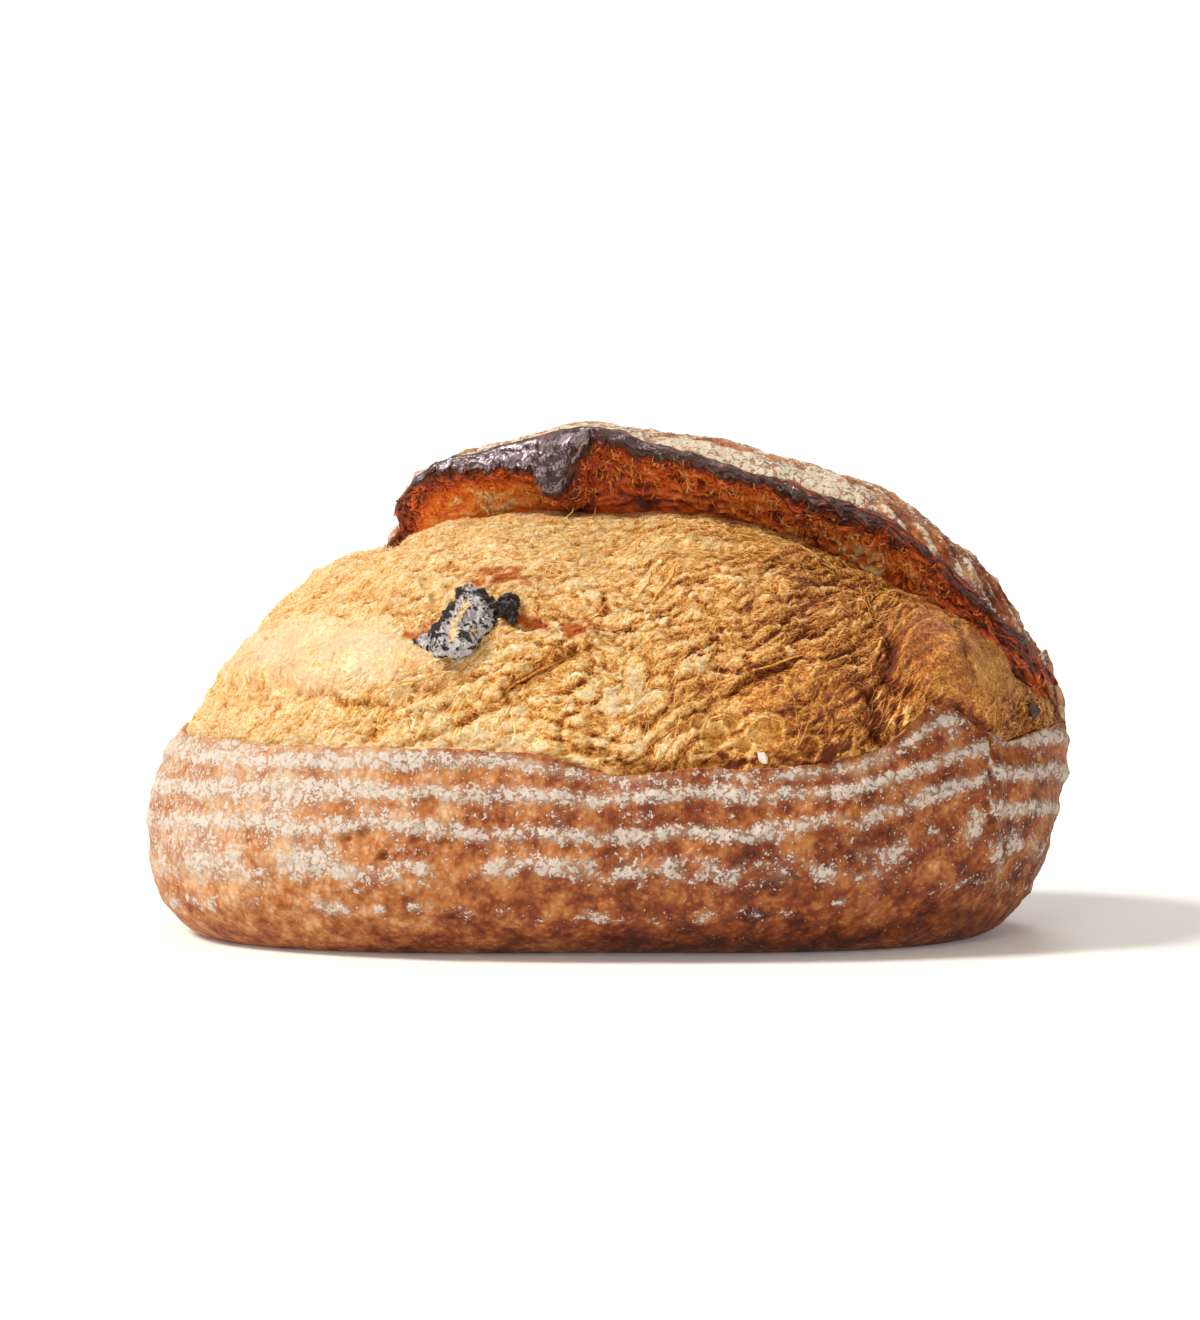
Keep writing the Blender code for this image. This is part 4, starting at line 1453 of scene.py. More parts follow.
        # Painted shade: the side of each lump that faces down the slope and to the right, away from the light, is
        # drawn browner.
        step_along = np.maximum(np.gradient(along, axis=0), 0.2)
        step_up = np.maximum(np.gradient(up, axis=1), 0.2)
        painted_shade_side = np.gradient(relief, axis=1) / step_up - np.gradient(relief, axis=0) / step_along
        painted_shade_side = np.clip(blurred(painted_shade_side, 1), 0.0, 1.4)
        grain = self.threads.fractal(flat(along / 2.0, up / 2.0, 2.0), 4, 0.7)
        height += calm * (0.42 * grain + 0.1 * small_steps)
        # The crumb's own toast, with painted shade folded in below. Darker towards the right: partly the crumb's own
        # toast, partly painted shade where the light from the left falls off.
        toast = 0.04 + 0.18 * smooth_step((across + 70.0) / 90.0) + 0.55 * smooth_step((across - 2.0) / 70.0)
        veins = (strand + 0.7 * second) * (0.26 - 0.8 * toast)
        # Painted light: paler at the lower left, where the bloom faces away from the key light.
        toast -= 0.12 * smooth_step((66.0 - high) / 14.0) * smooth_step((2.0 - across) / 30.0)
        # Browner at the torn edges of the flakes and along the veins; the valleys between the puffs and the side
        # turned from the light get painted shade.
        toast += rough * (0.05 * torn + 0.05 * small_torn + 0.14 * valley_shade * broad + veins + 0.16 * painted_shade_side)
        toast += rough * (0.1 * (tint - 0.5) + 0.12 * (small_tint - 0.5) + 0.1 * (tiny_tint - 0.5))
        # Painted shade: browner in the hollows, and paler on the crests.
        toast -= rough * (0.6 * hollow + 0.2 * dip)
        toast += browned + calm * (0.1 * grain + 0.12 * self.lumps.fractal(flat(along / 6.0, up / 6.0, 31.0), 3))
        toast += 0.15 * self.lumps.fractal(flat(along / 16.0, up / 12.0, 6.0), 3)

        for line, depth, half, stand in CREASES:
            wobble = 1.1 * self.lumps.fractal(flat(along / 4.5, up / 4.5, 4.0), 3)
            side, part = line_distance(across + wobble, high - wobble, line)
            ends = front * smooth_step(np.minimum(part, 1 - part) / 0.12 + 0.15)
            ends = ends * np.clip(0.85 + 0.6 * self.lumps.fractal(flat(along / 6.0, up / 6.0, 14.0), 2), 0.3, 1.3)
            cut = np.exp(-((side / half) ** 2))
            over = np.exp(-(((side - 1.9 * half) / (1.3 * half)) ** 2))
            height += ends * (stand * over - depth * cut)
            # Painted shade: each crease is drawn browner; the dough that stands over it is a little browner as well.
            toast += ends * (0.42 * cut * min(depth / 2.0, 1.0) + 0.12 * over)
        for place, level, radius in BUBBLES:
            far = np.hypot(across - place, high - level) / radius
            rim = np.exp(-(((far - 1.05) / 0.16) ** 2))
            height += front * (0.9 * rim - 1.8 * np.exp(-(far**4)))
            toast += front * (0.03 * np.exp(-(far**4)) - 0.4 * rim * (toast - 0.1))
        # A soft floor keeps the palest crests from going flat.
        toast = 0.5 * (toast + np.sqrt((toast - 0.02) ** 2 + 0.008) + 0.02)

        share = np.linspace(0.0, 1.0, grid.shape[0])[:, None]
        climb = np.linspace(0.0, 1.0, grid.shape[1])[None, :]
        edge = smooth_step(np.minimum(share, 1 - share) / 0.03)
        edge = edge * smooth_step(climb / 0.02) * smooth_step((1 - climb) / 0.05)
        grid = grid + normal * (height * edge)[..., None]
        far = np.hypot((across + 78.0) / 31.0, (high - 74.5) / 9.5)
        patchy = smooth_step(0.75 + 0.8 * self.lumps.fractal(flat(along / 7.0, up / 7.0), 2))
        values = {
            "toast": toast,
            "blush": 0.75 * np.exp(-(far**4)) * front * patchy,
            "stain": self._stain(across, high, along, up) * front,
            "lay": np.stack([run + twist, cross + twine, 0 * run], -1),
            "fibre": 1.0 - calm,
        }
        cuts = np.linspace(0, self.stations, 4).astype(int)
        for name, low_cut, high_cut in zip(("left", "middle", "right"), cuts, cuts[1:]):
            part = slice(low_cut, high_cut + 1)
            own = {key: value[part] for key, value in values.items()}
            dress(sheet_object(f"bloom_{name}", grid[part], own, False), self.finish)
        return Surface(grid, toast, calm, values["blush"], values["stain"])

    def _stain(self, across: Grid, high: Grid, along: Grid, up: Grid) -> Grid:
        """Juice of the fruit burnt to caramel beside it, in ragged patches.

        Args:
            across: X as the camera sees it, in mm.
            high: Z as the camera sees it.
            along: distance along the surface, in mm.
            up: distance up it, in mm.

        Returns:
            how stained the crumb is at each point.
        """
        patches = ((-28.5, 96.0, 8.0, 2.6), (-10.0, 82.0, 9.0, 2.6), (-52.0, 80.5, 5.0, 2.2), (-21.0, 84.5, 6.0, 2.4),
                   (-34.0, 98.0, 3.4, 1.2))
        ragged = self.lumps.fractal(flat(along / 3.5, up / 3.0, 12.0), 3)
        total = np.zeros(across.shape)
        for place, level, half, tall in patches:
            far = np.hypot((across - place) / half, (high - level) / tall)
            total = np.maximum(total, smooth_step(1.5 * np.exp(-(far**2)) + 0.9 * ragged - 0.35))
        return total


@dataclass
class EarUnderside:
    """The hollow under the ear: torn crumb from the root to the burnt lip."""

    form: LoafForm
    finish: bpy.types.Material
    stations: int = 560
    wall_rows: int = 78
    lip_rows: int = 26
    web: Noise = field(default_factory=lambda: Noise(131))
    # The burnt lip's height at places along the loaf. It hangs as a tooth beside the deep hollow.
    lip_heights: tuple[tuple[float, float], ...] = (
        (-104.0, 1.0), (-57.0, 1.4), (-48.0, 2.4), (-42.0, 3.0), (-35.0, 4.9), (-27.0, 6.0), (-22.0, 7.2),
        (-19.0, 8.8), (-16.6, 16.2), (-14.0, 17.6), (-11.8, 16.2), (-9.6, 9.0), (-7.0, 4.6), (-3.0, 3.0), (1.5, 3.0),
        (5.5, 4.0), (9.5, 4.4), (16.0, 2.9), (23.0, 2.7), (30.0, 3.4), (37.0, 3.0), (44.5, 2.4), (50.0, 3.6),
        (62.0, 3.6), (71.5, 3.2), (77.0, 2.4), (92.0, 2.0), (122.0, 1.4),
    )

    def build(self) -> Surface:
        """Builds the underside: a quadratic curve from root under the roof to the lip's foot, then the lip.

        Returns:
            the surface.
        """
        share = np.linspace(0.0, 1.0, self.stations + 1)
        lines = SharedLines(self.form, share)
        places, heights = np.array(self.lip_heights).T
        thick = np.interp(lines.lip[:, 0], places, heights)
        room = np.linalg.norm(lines.lip - lines.root, axis=1)
        ragged = 0.4 * self.web.smooth(lines.lip / 3.2) + 0.35 * self.web.smooth(lines.lip / 1.3)
        thick = thick * (1.0 + ragged * np.clip(1.4 - thick / 9.0, 0.1, 1.0))
        thick = np.minimum(thick, 0.8 * room)
        # On the left the lip's face slopes out, so it shines; on the right it stands straight.
        slope = 0.55 - 0.7 * smooth_step((lines.lip[:, 0] + 20.0) / 12.0)
        foot = lines.lip.copy()
        foot[:, :2] -= lines.inward * (slope * np.minimum(thick, 8.0))[:, None]
        foot[:, 2] -= thick
        roof = lines.root + 0.35 * (foot - lines.root)
        roof[:, 2] = lines.root[:, 2] + 0.86 * (foot[:, 2] - lines.root[:, 2])
        part = np.linspace(0.0, 1.0, self.wall_rows + 1)[None, :, None]
        under = lines.root[:, None] * (1 - part) ** 2 + 2 * roof[:, None] * part * (1 - part)
        under = under + foot[:, None] * part**2
        rise = np.linspace(0.0, 1.0, self.lip_rows + 1)[None, 1:, None]
        band = foot[:, None] * (1 - rise) + lines.lip[:, None] * rise
        swell = np.sin(math.pi * rise[..., 0]) * np.minimum(0.16 * thick, 1.3)[:, None]
        band[..., :2] -= lines.inward[:, None] * swell[..., None]
        grid = np.concatenate([under, band], axis=1)
        normal = grid_normals(grid)
        count = self.wall_rows + 1
        climb = np.concatenate([np.linspace(0, 1, count), 1 + np.linspace(0, 1, self.lip_rows + 1)[1:]])[None, :]
        size = np.clip(room / 14.0, 0.0, 1.0)[:, None]
        inside = smooth_step(climb / 0.1) * smooth_step((2.0 - climb) / 0.25)
        holes, _ = self.web.cells(grid / np.array([4.6, 4.6, 3.4]))
        warped = grid + 1.3 * np.stack([self.web.smooth(grid / 4.0 + shift) for shift in (1.0, 7.0, 13.0)], -1)
        torn = smooth_step((grid[..., 0] - 74.0) / 8.0)[..., None]
        sizes = np.array([6.0, 4.0, 3.0]) * (1 - torn) + np.array([11.0, 5.0, 9.0]) * torn
        slant = np.stack([grid[..., 2], 0 * grid[..., 0], grid[..., 0]], -1) * torn
        mesh = self.web.ridged((warped + 0.9 * slant) / sizes, 3)
        on_wall = smooth_step((1.05 - climb) / 0.2)
        pores, beside = self.web.cells(warped / 2.3 + 50.0)
        hole, rim = np.exp(-((pores / 0.42) ** 2)), np.exp(-(((beside - pores) / 0.16) ** 2))
        fringe = np.exp(-(((climb - 0.8) / 0.2) ** 2))
        smooth_left = 1.0 - 0.55 * smooth_step((-19.0 - seen(grid)[0]) / 5.0)
        smooth_left = smooth_left - 0.4 * np.exp(-(((seen(grid)[0] - 1.0) / 13.0) ** 4))
        height = on_wall * (smooth_left * (2.6 * (mesh - 0.5) - 1.3 * np.exp(-((holes / 0.42) ** 2))) + 0.9)
        height += on_wall * fringe * (0.8 * rim - 1.1 * hole)
        shiny = smooth_step((-6.0 - seen(grid)[0]) / 5.0)
        pitted = 0.3 * self.web.fractal(warped / 2.0, 3) + 0.2 * self.web.smooth(grid / 6.0)
        crumpled = 1.1 * (mesh - 0.5) + 0.4 * self.web.fractal(warped / 2.2, 3)
        # Where the glaze ran down beside the deep hollow it dried in folds.
        melted = np.exp(-(((seen(grid)[0] + 19.0) / 12.0) ** 2))
        folds = self.web.ridged((grid + 0.25 * grid[..., ::-1]) / np.array([3.0, 4.0, 8.0]) + 3.0, 2)
        height += (1 - on_wall) * (pitted * shiny + crumpled * (1 - shiny) + 1.5 * melted * (folds - 0.6))
        grid = grid + normal * (height * inside * size)[..., None]
        # Painted shade: the char is raised in the pores' holes, and their rims are drawn paler.
        char = self._char(grid, climb, mesh, fringe * (0.3 * hole - 0.26 * rim))
        dress(sheet_object("ear_underside", grid, {"char": char}, False), self.finish)
        nothing = np.zeros(char.shape)
        return Surface(grid, char, nothing, nothing, nothing)

    def _char(self, grid: Grid, climb: Grid, mesh: Grid, pores: Grid) -> Grid:
        """How burnt: the lip black, webs below it red-brown, and amber walls at the left and right.

        Args:
            grid: points in mm.
            climb: the share of the way from root to lip.
            mesh: the height of the webs.
            pores: how much the char is raised in the pores' holes, painted shade, and lowered on their rims.

        Returns:
            the char at each point, 0 pale to 1 burnt.
        """
        across, _ = seen(grid)
        ragged = 0.10 * self.web.fractal(grid / 3.0 + 21.0, 2)
        lip = smooth_step((climb + ragged - 0.9) / 0.12)
        left = smooth_step((-19.0 - across) / 5.0)
        cave = np.exp(-(((across - 3.0) / 17.0) ** 4))
        right = smooth_step((across - 58.0) / 12.0)
        torn = smooth_step((across - 72.0) / 6.0)
        wall = 0.54 - 0.34 * left * smooth_step((0.72 - climb) / 0.45) + 0.06 * cave
        wall = wall - 0.36 * right * smooth_step((0.6 - climb) / 0.3) * (1 - torn)
        wall += 0.26 * smooth_step((climb - 0.55) / 0.35) - (0.95 - 0.6 * left - 0.4 * cave) * (mesh - 0.5) + pores
        wall = np.clip(wall + 0.14 * self.web.fractal(grid / 7.0 + 33.0, 2), 0.0, 0.8)
        tooth = smooth_step((across + 25.0) / 6.0) * smooth_step((-6.0 - across) / 4.0)
        # The glaze dried in streaks along the lip, with a dark line on its upper edge.
        burnt = 1.0 + 0.09 * self.web.fractal(grid / np.array([7.0, 5.0, 1.8]) + 9.0, 3)
        burnt = burnt - 0.12 * smooth_step((climb - 1.86) / 0.08) - 0.05 * tooth
        # Right of the tooth the lip is drawn darker, with less of the grey painted sheen.
        burnt = burnt - 0.1 * smooth_step((across + 8.0) / 6.0)
        burnt = burnt - (0.16 - 0.4 * (mesh - 0.5)) * torn
        burnt = burnt - (0.26 - 0.5 * (mesh - 0.5)) * smooth_step((-50.0 - across) / 6.0)
        return wall * (1 - lip) + burnt * lip


@dataclass
class Surface:
    """A displaced grid that loose crumb can lie on."""

    grid: Grid
    tone: Grid
    calm: Grid
    blush: Grid
    stain: Grid
    normal: Grid = field(init=False)

    def __post_init__(self) -> None:
        """Works out the normals."""
        self.normal = grid_normals(self.grid)

    def under(self, line: Line, count: int) -> tuple[Grid, Grid]:
        """Finds the surface along a line that the camera sees.

        Args:
            line: the line's corners, as (across, up).
            count: how many places to find.

        Returns:
            Points and normals at even steps along a smooth curve through the corners.
        """
        corners = np.array(line)
        wanted = through(np.arange(len(corners)), corners, np.linspace(0, len(corners) - 1.0001, count))
        across, up = seen(self.grid)
        lists = [self.grid.reshape(-1, 3), self.normal.reshape(-1, 3)]
        near = [np.argmin((across - x) ** 2 + (up - z) ** 2) for x, z in wanted]
        points, normals = (values[near] for values in lists)
        soft = np.array([0.25, 0.5, 0.25])
        for axis in range(3):
            points[1:-1, axis] = np.convolve(points[:, axis], soft, "valid")
        return points, normals


def tube_mesh(path: Grid, out: Grid, width: Grid, thick: Grid, lean: Grid, arch: float) -> tuple[Grid, Grid]:
    """Sweeps a flat tube of four corners along paths.

    Args:
        path: points by tube and step.
        out: the direction away from the surface at each.
        width: half width at each.
        thick: half thickness at each.
        lean: how far each tube is turned about its own line, in radians.
        arch: how far the middle of the tube stands over its edges, as a share of the half width.

    Returns:
        The vertices and the faces of all tubes.
    """
    ahead = np.gradient(path, axis=1)
    ahead /= np.maximum(np.linalg.norm(ahead, axis=-1, keepdims=True), 1e-9)
    side = np.cross(ahead, out)
    side /= np.maximum(np.linalg.norm(side, axis=-1, keepdims=True), 1e-9)
    up = np.cross(side, ahead)
    cosine, sine = np.cos(lean)[:, None, None], np.sin(lean)[:, None, None]
    side, up = side * cosine + up * sine, up * cosine - side * sine
    turns = np.arange(4) * math.pi / 2
    across = side[:, :, None] * (width[..., None] * np.cos(turns))[..., None]
    heights = thick[..., None] * np.sin(turns) + arch * width[..., None] * np.abs(np.sin(turns))
    points = path[:, :, None] + across + up[:, :, None] * heights[..., None]
    number = np.arange(points[..., 0].size).reshape(points.shape[:3])
    after = np.roll(number, -1, axis=2)
    sides = np.stack([number[:, :-1], after[:, :-1], after[:, 1:], number[:, 1:]], -1).reshape(-1, 4)
    caps = np.concatenate([number[:, 0, ::-1], number[:, -1]], axis=0)
    return points.reshape(-1, 3), np.concatenate([sides, caps])


@dataclass(frozen=True)
class ShredKind:
    """What one kind of shred is like: half width, length, lean and lift, each from least to most."""

    width: tuple[float, float]
    length: tuple[float, float]
    lean: tuple[float, float]
    lift: tuple[float, float]
    bend: float
    edge_tone: float
    loose_share: float = 0.1


FILM = ShredKind((0.2, 0.7), (1.8, 5.5), (0.1, 0.4), (0.0, 0.2), 1.3, 0.08, 0.04)
THREAD = ShredKind((0.06, 0.16), (3.0, 10.0), (0.0, 0.3), (0.05, 0.45), 0.9, 0.0, 0.08)
FUZZ = ShredKind((0.06, 0.15), (1.0, 4.0), (0.0, 0.3), (0.05, 0.4), 2.0, 0.0, 0.04)
CURL = ShredKind((0.1, 0.32), (1.5, 4.5), (-0.6, 0.6), (0.2, 1.3), 2.2, -0.08, 0.12)
WEB = ShredKind((0.14, 0.5), (1.5, 5.0), (-0.6, 0.6), (0.1, 1.0), 1.6, -0.1, 0.1)
RIBBON = ShredKind((0.5, 1.3), (8.0, 22.0), (-0.5, 0.9), (0.2, 1.2), 0.5, -0.12, 0.1)


@dataclass
class Shreds:
    """Loose films and threads of torn crumb, each a flat tube with pointed ends that lies on a surface.

    A film leans, so that one long edge stands free like a shingle's and the other is sunk in the crumb.
    """

    name: str
    finish: bpy.types.Material
    kind: ShredKind
    tone_name: str
    tone: tuple[float, float]
    count: int
    angle: float
    spread: float
    low: tuple[float, float]
    high: tuple[float, float]
    seed: int
    segments: int = 5

    def build(self, surface: Surface) -> None:
        """Scatters the shreds over the part of the surface from low to high, fewer where its skin is calm.

        Args:
            surface: the surface that they lie on.
        """
        draw = np.random.default_rng(self.seed)
        kind, steps = self.kind, self.segments + 1
        rows, columns = surface.grid.shape[:2]
        start = draw.uniform(self.low, self.high, (self.count * 2, 2)) * np.array([rows, columns])
        still = surface.calm[start[:, 0].astype(int), start[:, 1].astype(int)]
        start = start[draw.random(len(start)) > 1.7 * still][: self.count]
        count = len(start)
        step = np.median(np.linalg.norm(np.diff(surface.grid, axis=0), axis=-1), axis=1)
        rise = np.median(np.linalg.norm(np.diff(surface.grid, axis=1), axis=-1), axis=0)
        i, j = start[:, 0].astype(int), start[:, 1].astype(int)
        size = draw.beta(1.6, 2.6, count)
        length = kind.length[0] + (kind.length[1] - kind.length[0]) * draw.beta(1.6, 2.6, count)
        angle = self.angle + draw.normal(0.0, self.spread, count)
        part = np.linspace(0.0, 1.0, steps)
        turn = angle[:, None] + draw.normal(0.0, kind.bend, count)[:, None] * (part[None, :] - 0.5)
        walk = length[:, None] / self.segments
        at_u = start[:, :1] + np.cumsum(np.cos(turn) * walk / np.maximum(step[i], 0.15)[:, None], axis=1)
        at_v = start[:, 1:] + np.cumsum(np.sin(turn) * walk / np.maximum(rise[j], 0.15)[:, None], axis=1)
        path, out = read_grid(surface.grid, at_u, at_v), read_grid(surface.normal, at_u, at_v)
        lift = draw.uniform(*kind.lift, count)[:, None] * np.sin(math.pi * part[None, :] ** 0.8)
        loose = (draw.random(count) < kind.loose_share) * draw.gamma(2.0, 0.6, count)
        path = path + out * (0.05 + lift + loose[:, None] * part[None, :] ** 2)[..., None]
        width = (kind.width[0] + (kind.width[1] - kind.width[0]) * size)[:, None]
        width = width * np.sin(math.pi * (0.05 + 0.9 * part)) ** 0.6
        width = width * np.clip(1.0 + 0.3 * draw.normal(size=width.shape), 0.45, 1.6)
        lean = draw.uniform(*kind.lean, count) * np.where(draw.random(count) < 0.75, -1.0, 1.0)
        points, faces = tube_mesh(path, out, width, np.minimum(width, 0.07), lean, 0.3)
        slope, level = self.tone
        tone = slope * read_grid(surface.tone, at_u, at_v) + level + draw.normal(0.0, 0.07, count)[:, None]
        tone = (tone[..., None] + kind.edge_tone * np.array([1.0, -0.4, 0.4, 1.5])).ravel()
        lay = np.repeat(part[None, :] * length[:, None], 4, axis=1).ravel()
        values = {
            self.tone_name: tone,
            "blush": np.repeat(read_grid(surface.blush, at_u, at_v), 4, axis=1).ravel(),
            "stain": np.repeat(read_grid(surface.stain, at_u, at_v), 4, axis=1).ravel(),
            "lay": np.stack([lay, 0 * lay, 0 * lay], -1),
        }
        piece = mesh_object(self.name, points, faces, values, False)
        piece.data.shade_flat()
        dress(piece, self.finish)


# Single strands that catch the eye: the line as the camera sees it, half width, toast, and how far it stands off.
STRANDS = (
    (((18.8, 100.7), (16.8, 95.5), (13.2, 91.0), (10.6, 87.0)), 0.7, 0.42, 0.8),
    (((12.0, 99.0), (10.5, 94.0), (7.0, 90.0)), 0.45, 0.3, 0.6),
    (((68.4, 94.4), (69.4, 90.0), (71.0, 85.6), (72.8, 82.4)), 0.7, 0.62, 1.3),
    (((70.2, 93.2), (70.4, 89.0), (72.8, 85.0)), 0.5, 0.5, 1.6),
    (((66.5, 92.6), (68.2, 88.6), (68.8, 83.0)), 0.5, 0.66, 1.0),
    (((71.5, 90.5), (74.5, 91.8), (78.5, 91.0)), 0.35, 0.5, 1.0),
    (((53.0, 105.0), (54.6, 107.4), (56.4, 109.6)), 0.45, 0.3, 2.2),
    (((50.0, 104.6), (51.0, 106.8), (50.6, 109.0)), 0.3, 0.35, 1.8),
    (((-28.0, 63.0), (-27.6, 66.2), (-22.5, 69.2), (-15.0, 73.0), (-7.0, 76.2)), 0.75, 0.6, 1.2),
    (((36.0, 69.0), (42.0, 71.6), (50.0, 74.4), (57.0, 76.0)), 0.5, 0.55, 0.9),
    (((0.0, 86.0), (6.0, 88.6), (13.0, 89.4)), 0.35, 0.4, 0.7),
    (((31.0, 92.0), (38.0, 95.2), (46.0, 96.0)), 0.4, 0.5, 0.8),
    (((-62.0, 66.0), (-54.0, 67.4), (-46.0, 70.4)), 0.5, 0.35, 0.8),
    (((24.6, 50.6), (27.0, 56.8), (32.6, 58.6), (36.4, 55.4)), 0.4, 0.3, 0.9),
    (((37.6, 54.4), (42.2, 58.6), (47.6, 56.6)), 0.4, 0.35, 0.9),
)


@dataclass
class Strands:
    """The single strands, each a tapering ribbon through its own named points."""

    finish: bpy.types.Material
    steps: int = 16

    def build(self, surface: Surface) -> None:
        """Lays every strand on the surface and lifts its middle.

        Args:
            surface: the surface that they lie on.
        """
        part = np.linspace(0.0, 1.0, self.steps)
        found = [surface.under(line, self.steps) for line, *_ in STRANDS]
        half, tone, lift = (np.array([row[i] for row in STRANDS])[:, None] for i in (1, 2, 3))
        half, tone, lift = 0.7 * half, tone - 0.04, 0.6 * lift
        path, out = (np.stack([pair[i] for pair in found]) for i in (0, 1))
        path = path + out * (lift * np.sin(math.pi * part))[..., None]
        width = half * np.sin(math.pi * (0.06 + 0.88 * part)) ** 0.8
        points, faces = tube_mesh(path, out, width, 0.3 * width, lift[:, 0], 0.2)
        toast = np.repeat(tone + 0 * width, 4, axis=1).ravel()
        lay = np.repeat(12.0 * part[None, :] + 0 * width, 4, axis=1).ravel()
        values = {
            "toast": toast,
            "blush": 0 * toast,
            "stain": 0 * toast,
            "lay": np.stack([lay, 0 * lay, 0 * lay], -1),
        }
        dress(mesh_object("named_strands", points, faces, values, False), self.finish)


@dataclass
class Scraps:
    """Small bits by the loaf's end: a cereal grain on the bloom, a dark crumb and flakes of crust that peel off."""

    flour: bpy.types.Material
    char: bpy.types.Material
    crust: bpy.types.Material
    lumpy: Noise = field(default_factory=lambda: Noise(211))

    def _lump(self, name: str, spot: Grid, sizes: tuple[float, ...], tilt: float, rough: float) -> bpy.types.Object:
        """A small uneven ball with half sizes along X, Y and Z, tilted about Y.

        Args:
            name: the piece's name.
            spot: its middle, in mm.
            sizes: its half sizes, in mm.
            tilt: its tilt, as an angle.
            rough: how uneven it is, as a share of its size.

        Returns:
            the object.
        """
        high = np.linspace(0.0, math.pi, 15)[:, None]
        round_ = np.linspace(0.0, 2 * math.pi, 23)[None, :]
        unit = np.stack([np.sin(high) * np.cos(round_), np.sin(high) * np.sin(round_), np.cos(high) + 0 * round_], -1)
        local = unit * (1.0 + rough * self.lumpy.smooth(unit * 1.9))[..., None] * np.array(sizes)
        c, s = math.cos(tilt), math.sin(tilt)
        x, y, z = np.moveaxis(local, -1, 0)
        turned = np.stack([x * c + z * s, y, z * c - x * s], -1)
        return sheet_object(name, turned + spot, {"char": np.full(unit.shape[:2], 0.84)}, False)

    def build(self, surface: Surface) -> None:
        """Builds the scraps at their places.

        Args:
            surface: the surface that they lie on.
        """
        (_, spot, _), out = surface.under(((42.2, 47.9), (42.3, 47.8)), 3)
        dress(self._lump("cereal_grain", spot + 0.8 * out[0], (1.1, 0.9, 1.9), -0.5, 0.35), self.flour)
        (_, spot, _), out = surface.under(((115.4, 59.6), (115.5, 59.5)), 3)
        dress(self._lump("dark_crumb", spot + 0.4 * out[0], (2.0, 1.6, 2.3), 0.4, 0.5), self.char)
        flakes = (
            ((118.4, -8.0, 77.0), (121.0, -7.0, 67.5), 1.2, 0.5),
            ((121.2, -10.0, 67.0), (123.9, -6.0, 57.0), 1.7, 0.35),
            ((116.6, -14.0, 74.0), (121.0, -12.0, 62.0), 1.3, 0.6),
        )
        part = np.linspace(0.0, 1.0, 10)
        ends = np.array([row[:2] for row in flakes])
        path = ends[:, :1] * (1 - part[None, :, None]) + ends[:, 1:] * part[None, :, None]
        path = path + 0.7 * np.stack([self.lumpy.smooth(path / 4.0 + shift) for shift in (0.0, 5.0, 9.0)], -1)
        out = np.broadcast_to(np.array([0.35, -0.9, 0.2]), path.shape)
        half = np.array([row[2] for row in flakes])[:, None] * np.sin(math.pi * (0.12 + 0.8 * part)) ** 0.8
        points, faces = tube_mesh(path, out, half, 0.2 + 0 * half, 0 * half[:, 0], 0.3)
        toast = np.repeat(np.array([row[3] for row in flakes])[:, None] + 0 * half, 4, axis=1).ravel()
        values = {"toast": toast, "flour": 0.45 + 0 * toast}
        dress(mesh_object("crust_flakes", points, faces, values, False), self.crust)


@dataclass(frozen=True)
class FruitLobe:
    """One lobe of the fruit: its middle and the edge round it as the camera sees them, and its half thickness."""

    middle: tuple[float, float]
    edge: Line
    thick: float


# The body with its straight left flank, the glossy nub at the upper right and the flat tail at the lower left.
FRUIT_LOBES = (
    FruitLobe(
        (-39.5, 84.5),
        ((-30.3, 86.3), (-31.4, 89.6), (-34.4, 92.0), (-38.0, 92.9), (-40.4, 92.2), (-42.0, 89.8), (-44.4, 86.6),
         (-46.9, 82.9), (-48.0, 79.4), (-46.4, 76.0), (-41.2, 76.0), (-37.0, 77.6), (-34.4, 80.2), (-31.6, 83.0)),
        4.4,
    ),
    FruitLobe(
        (-27.6, 88.0),
        ((-24.6, 87.6), (-25.0, 90.4), (-27.4, 91.2), (-30.4, 89.8), (-31.8, 88.2), (-29.6, 86.9), (-27.2, 85.9),
         (-25.6, 84.7)),
        3.2,
    ),
    FruitLobe(
        (-48.4, 78.6),
        ((-44.6, 78.0), (-46.6, 80.2), (-49.4, 80.6), (-52.9, 79.0), (-50.4, 77.5), (-46.6, 76.5)),
        1.8,
    ),
)


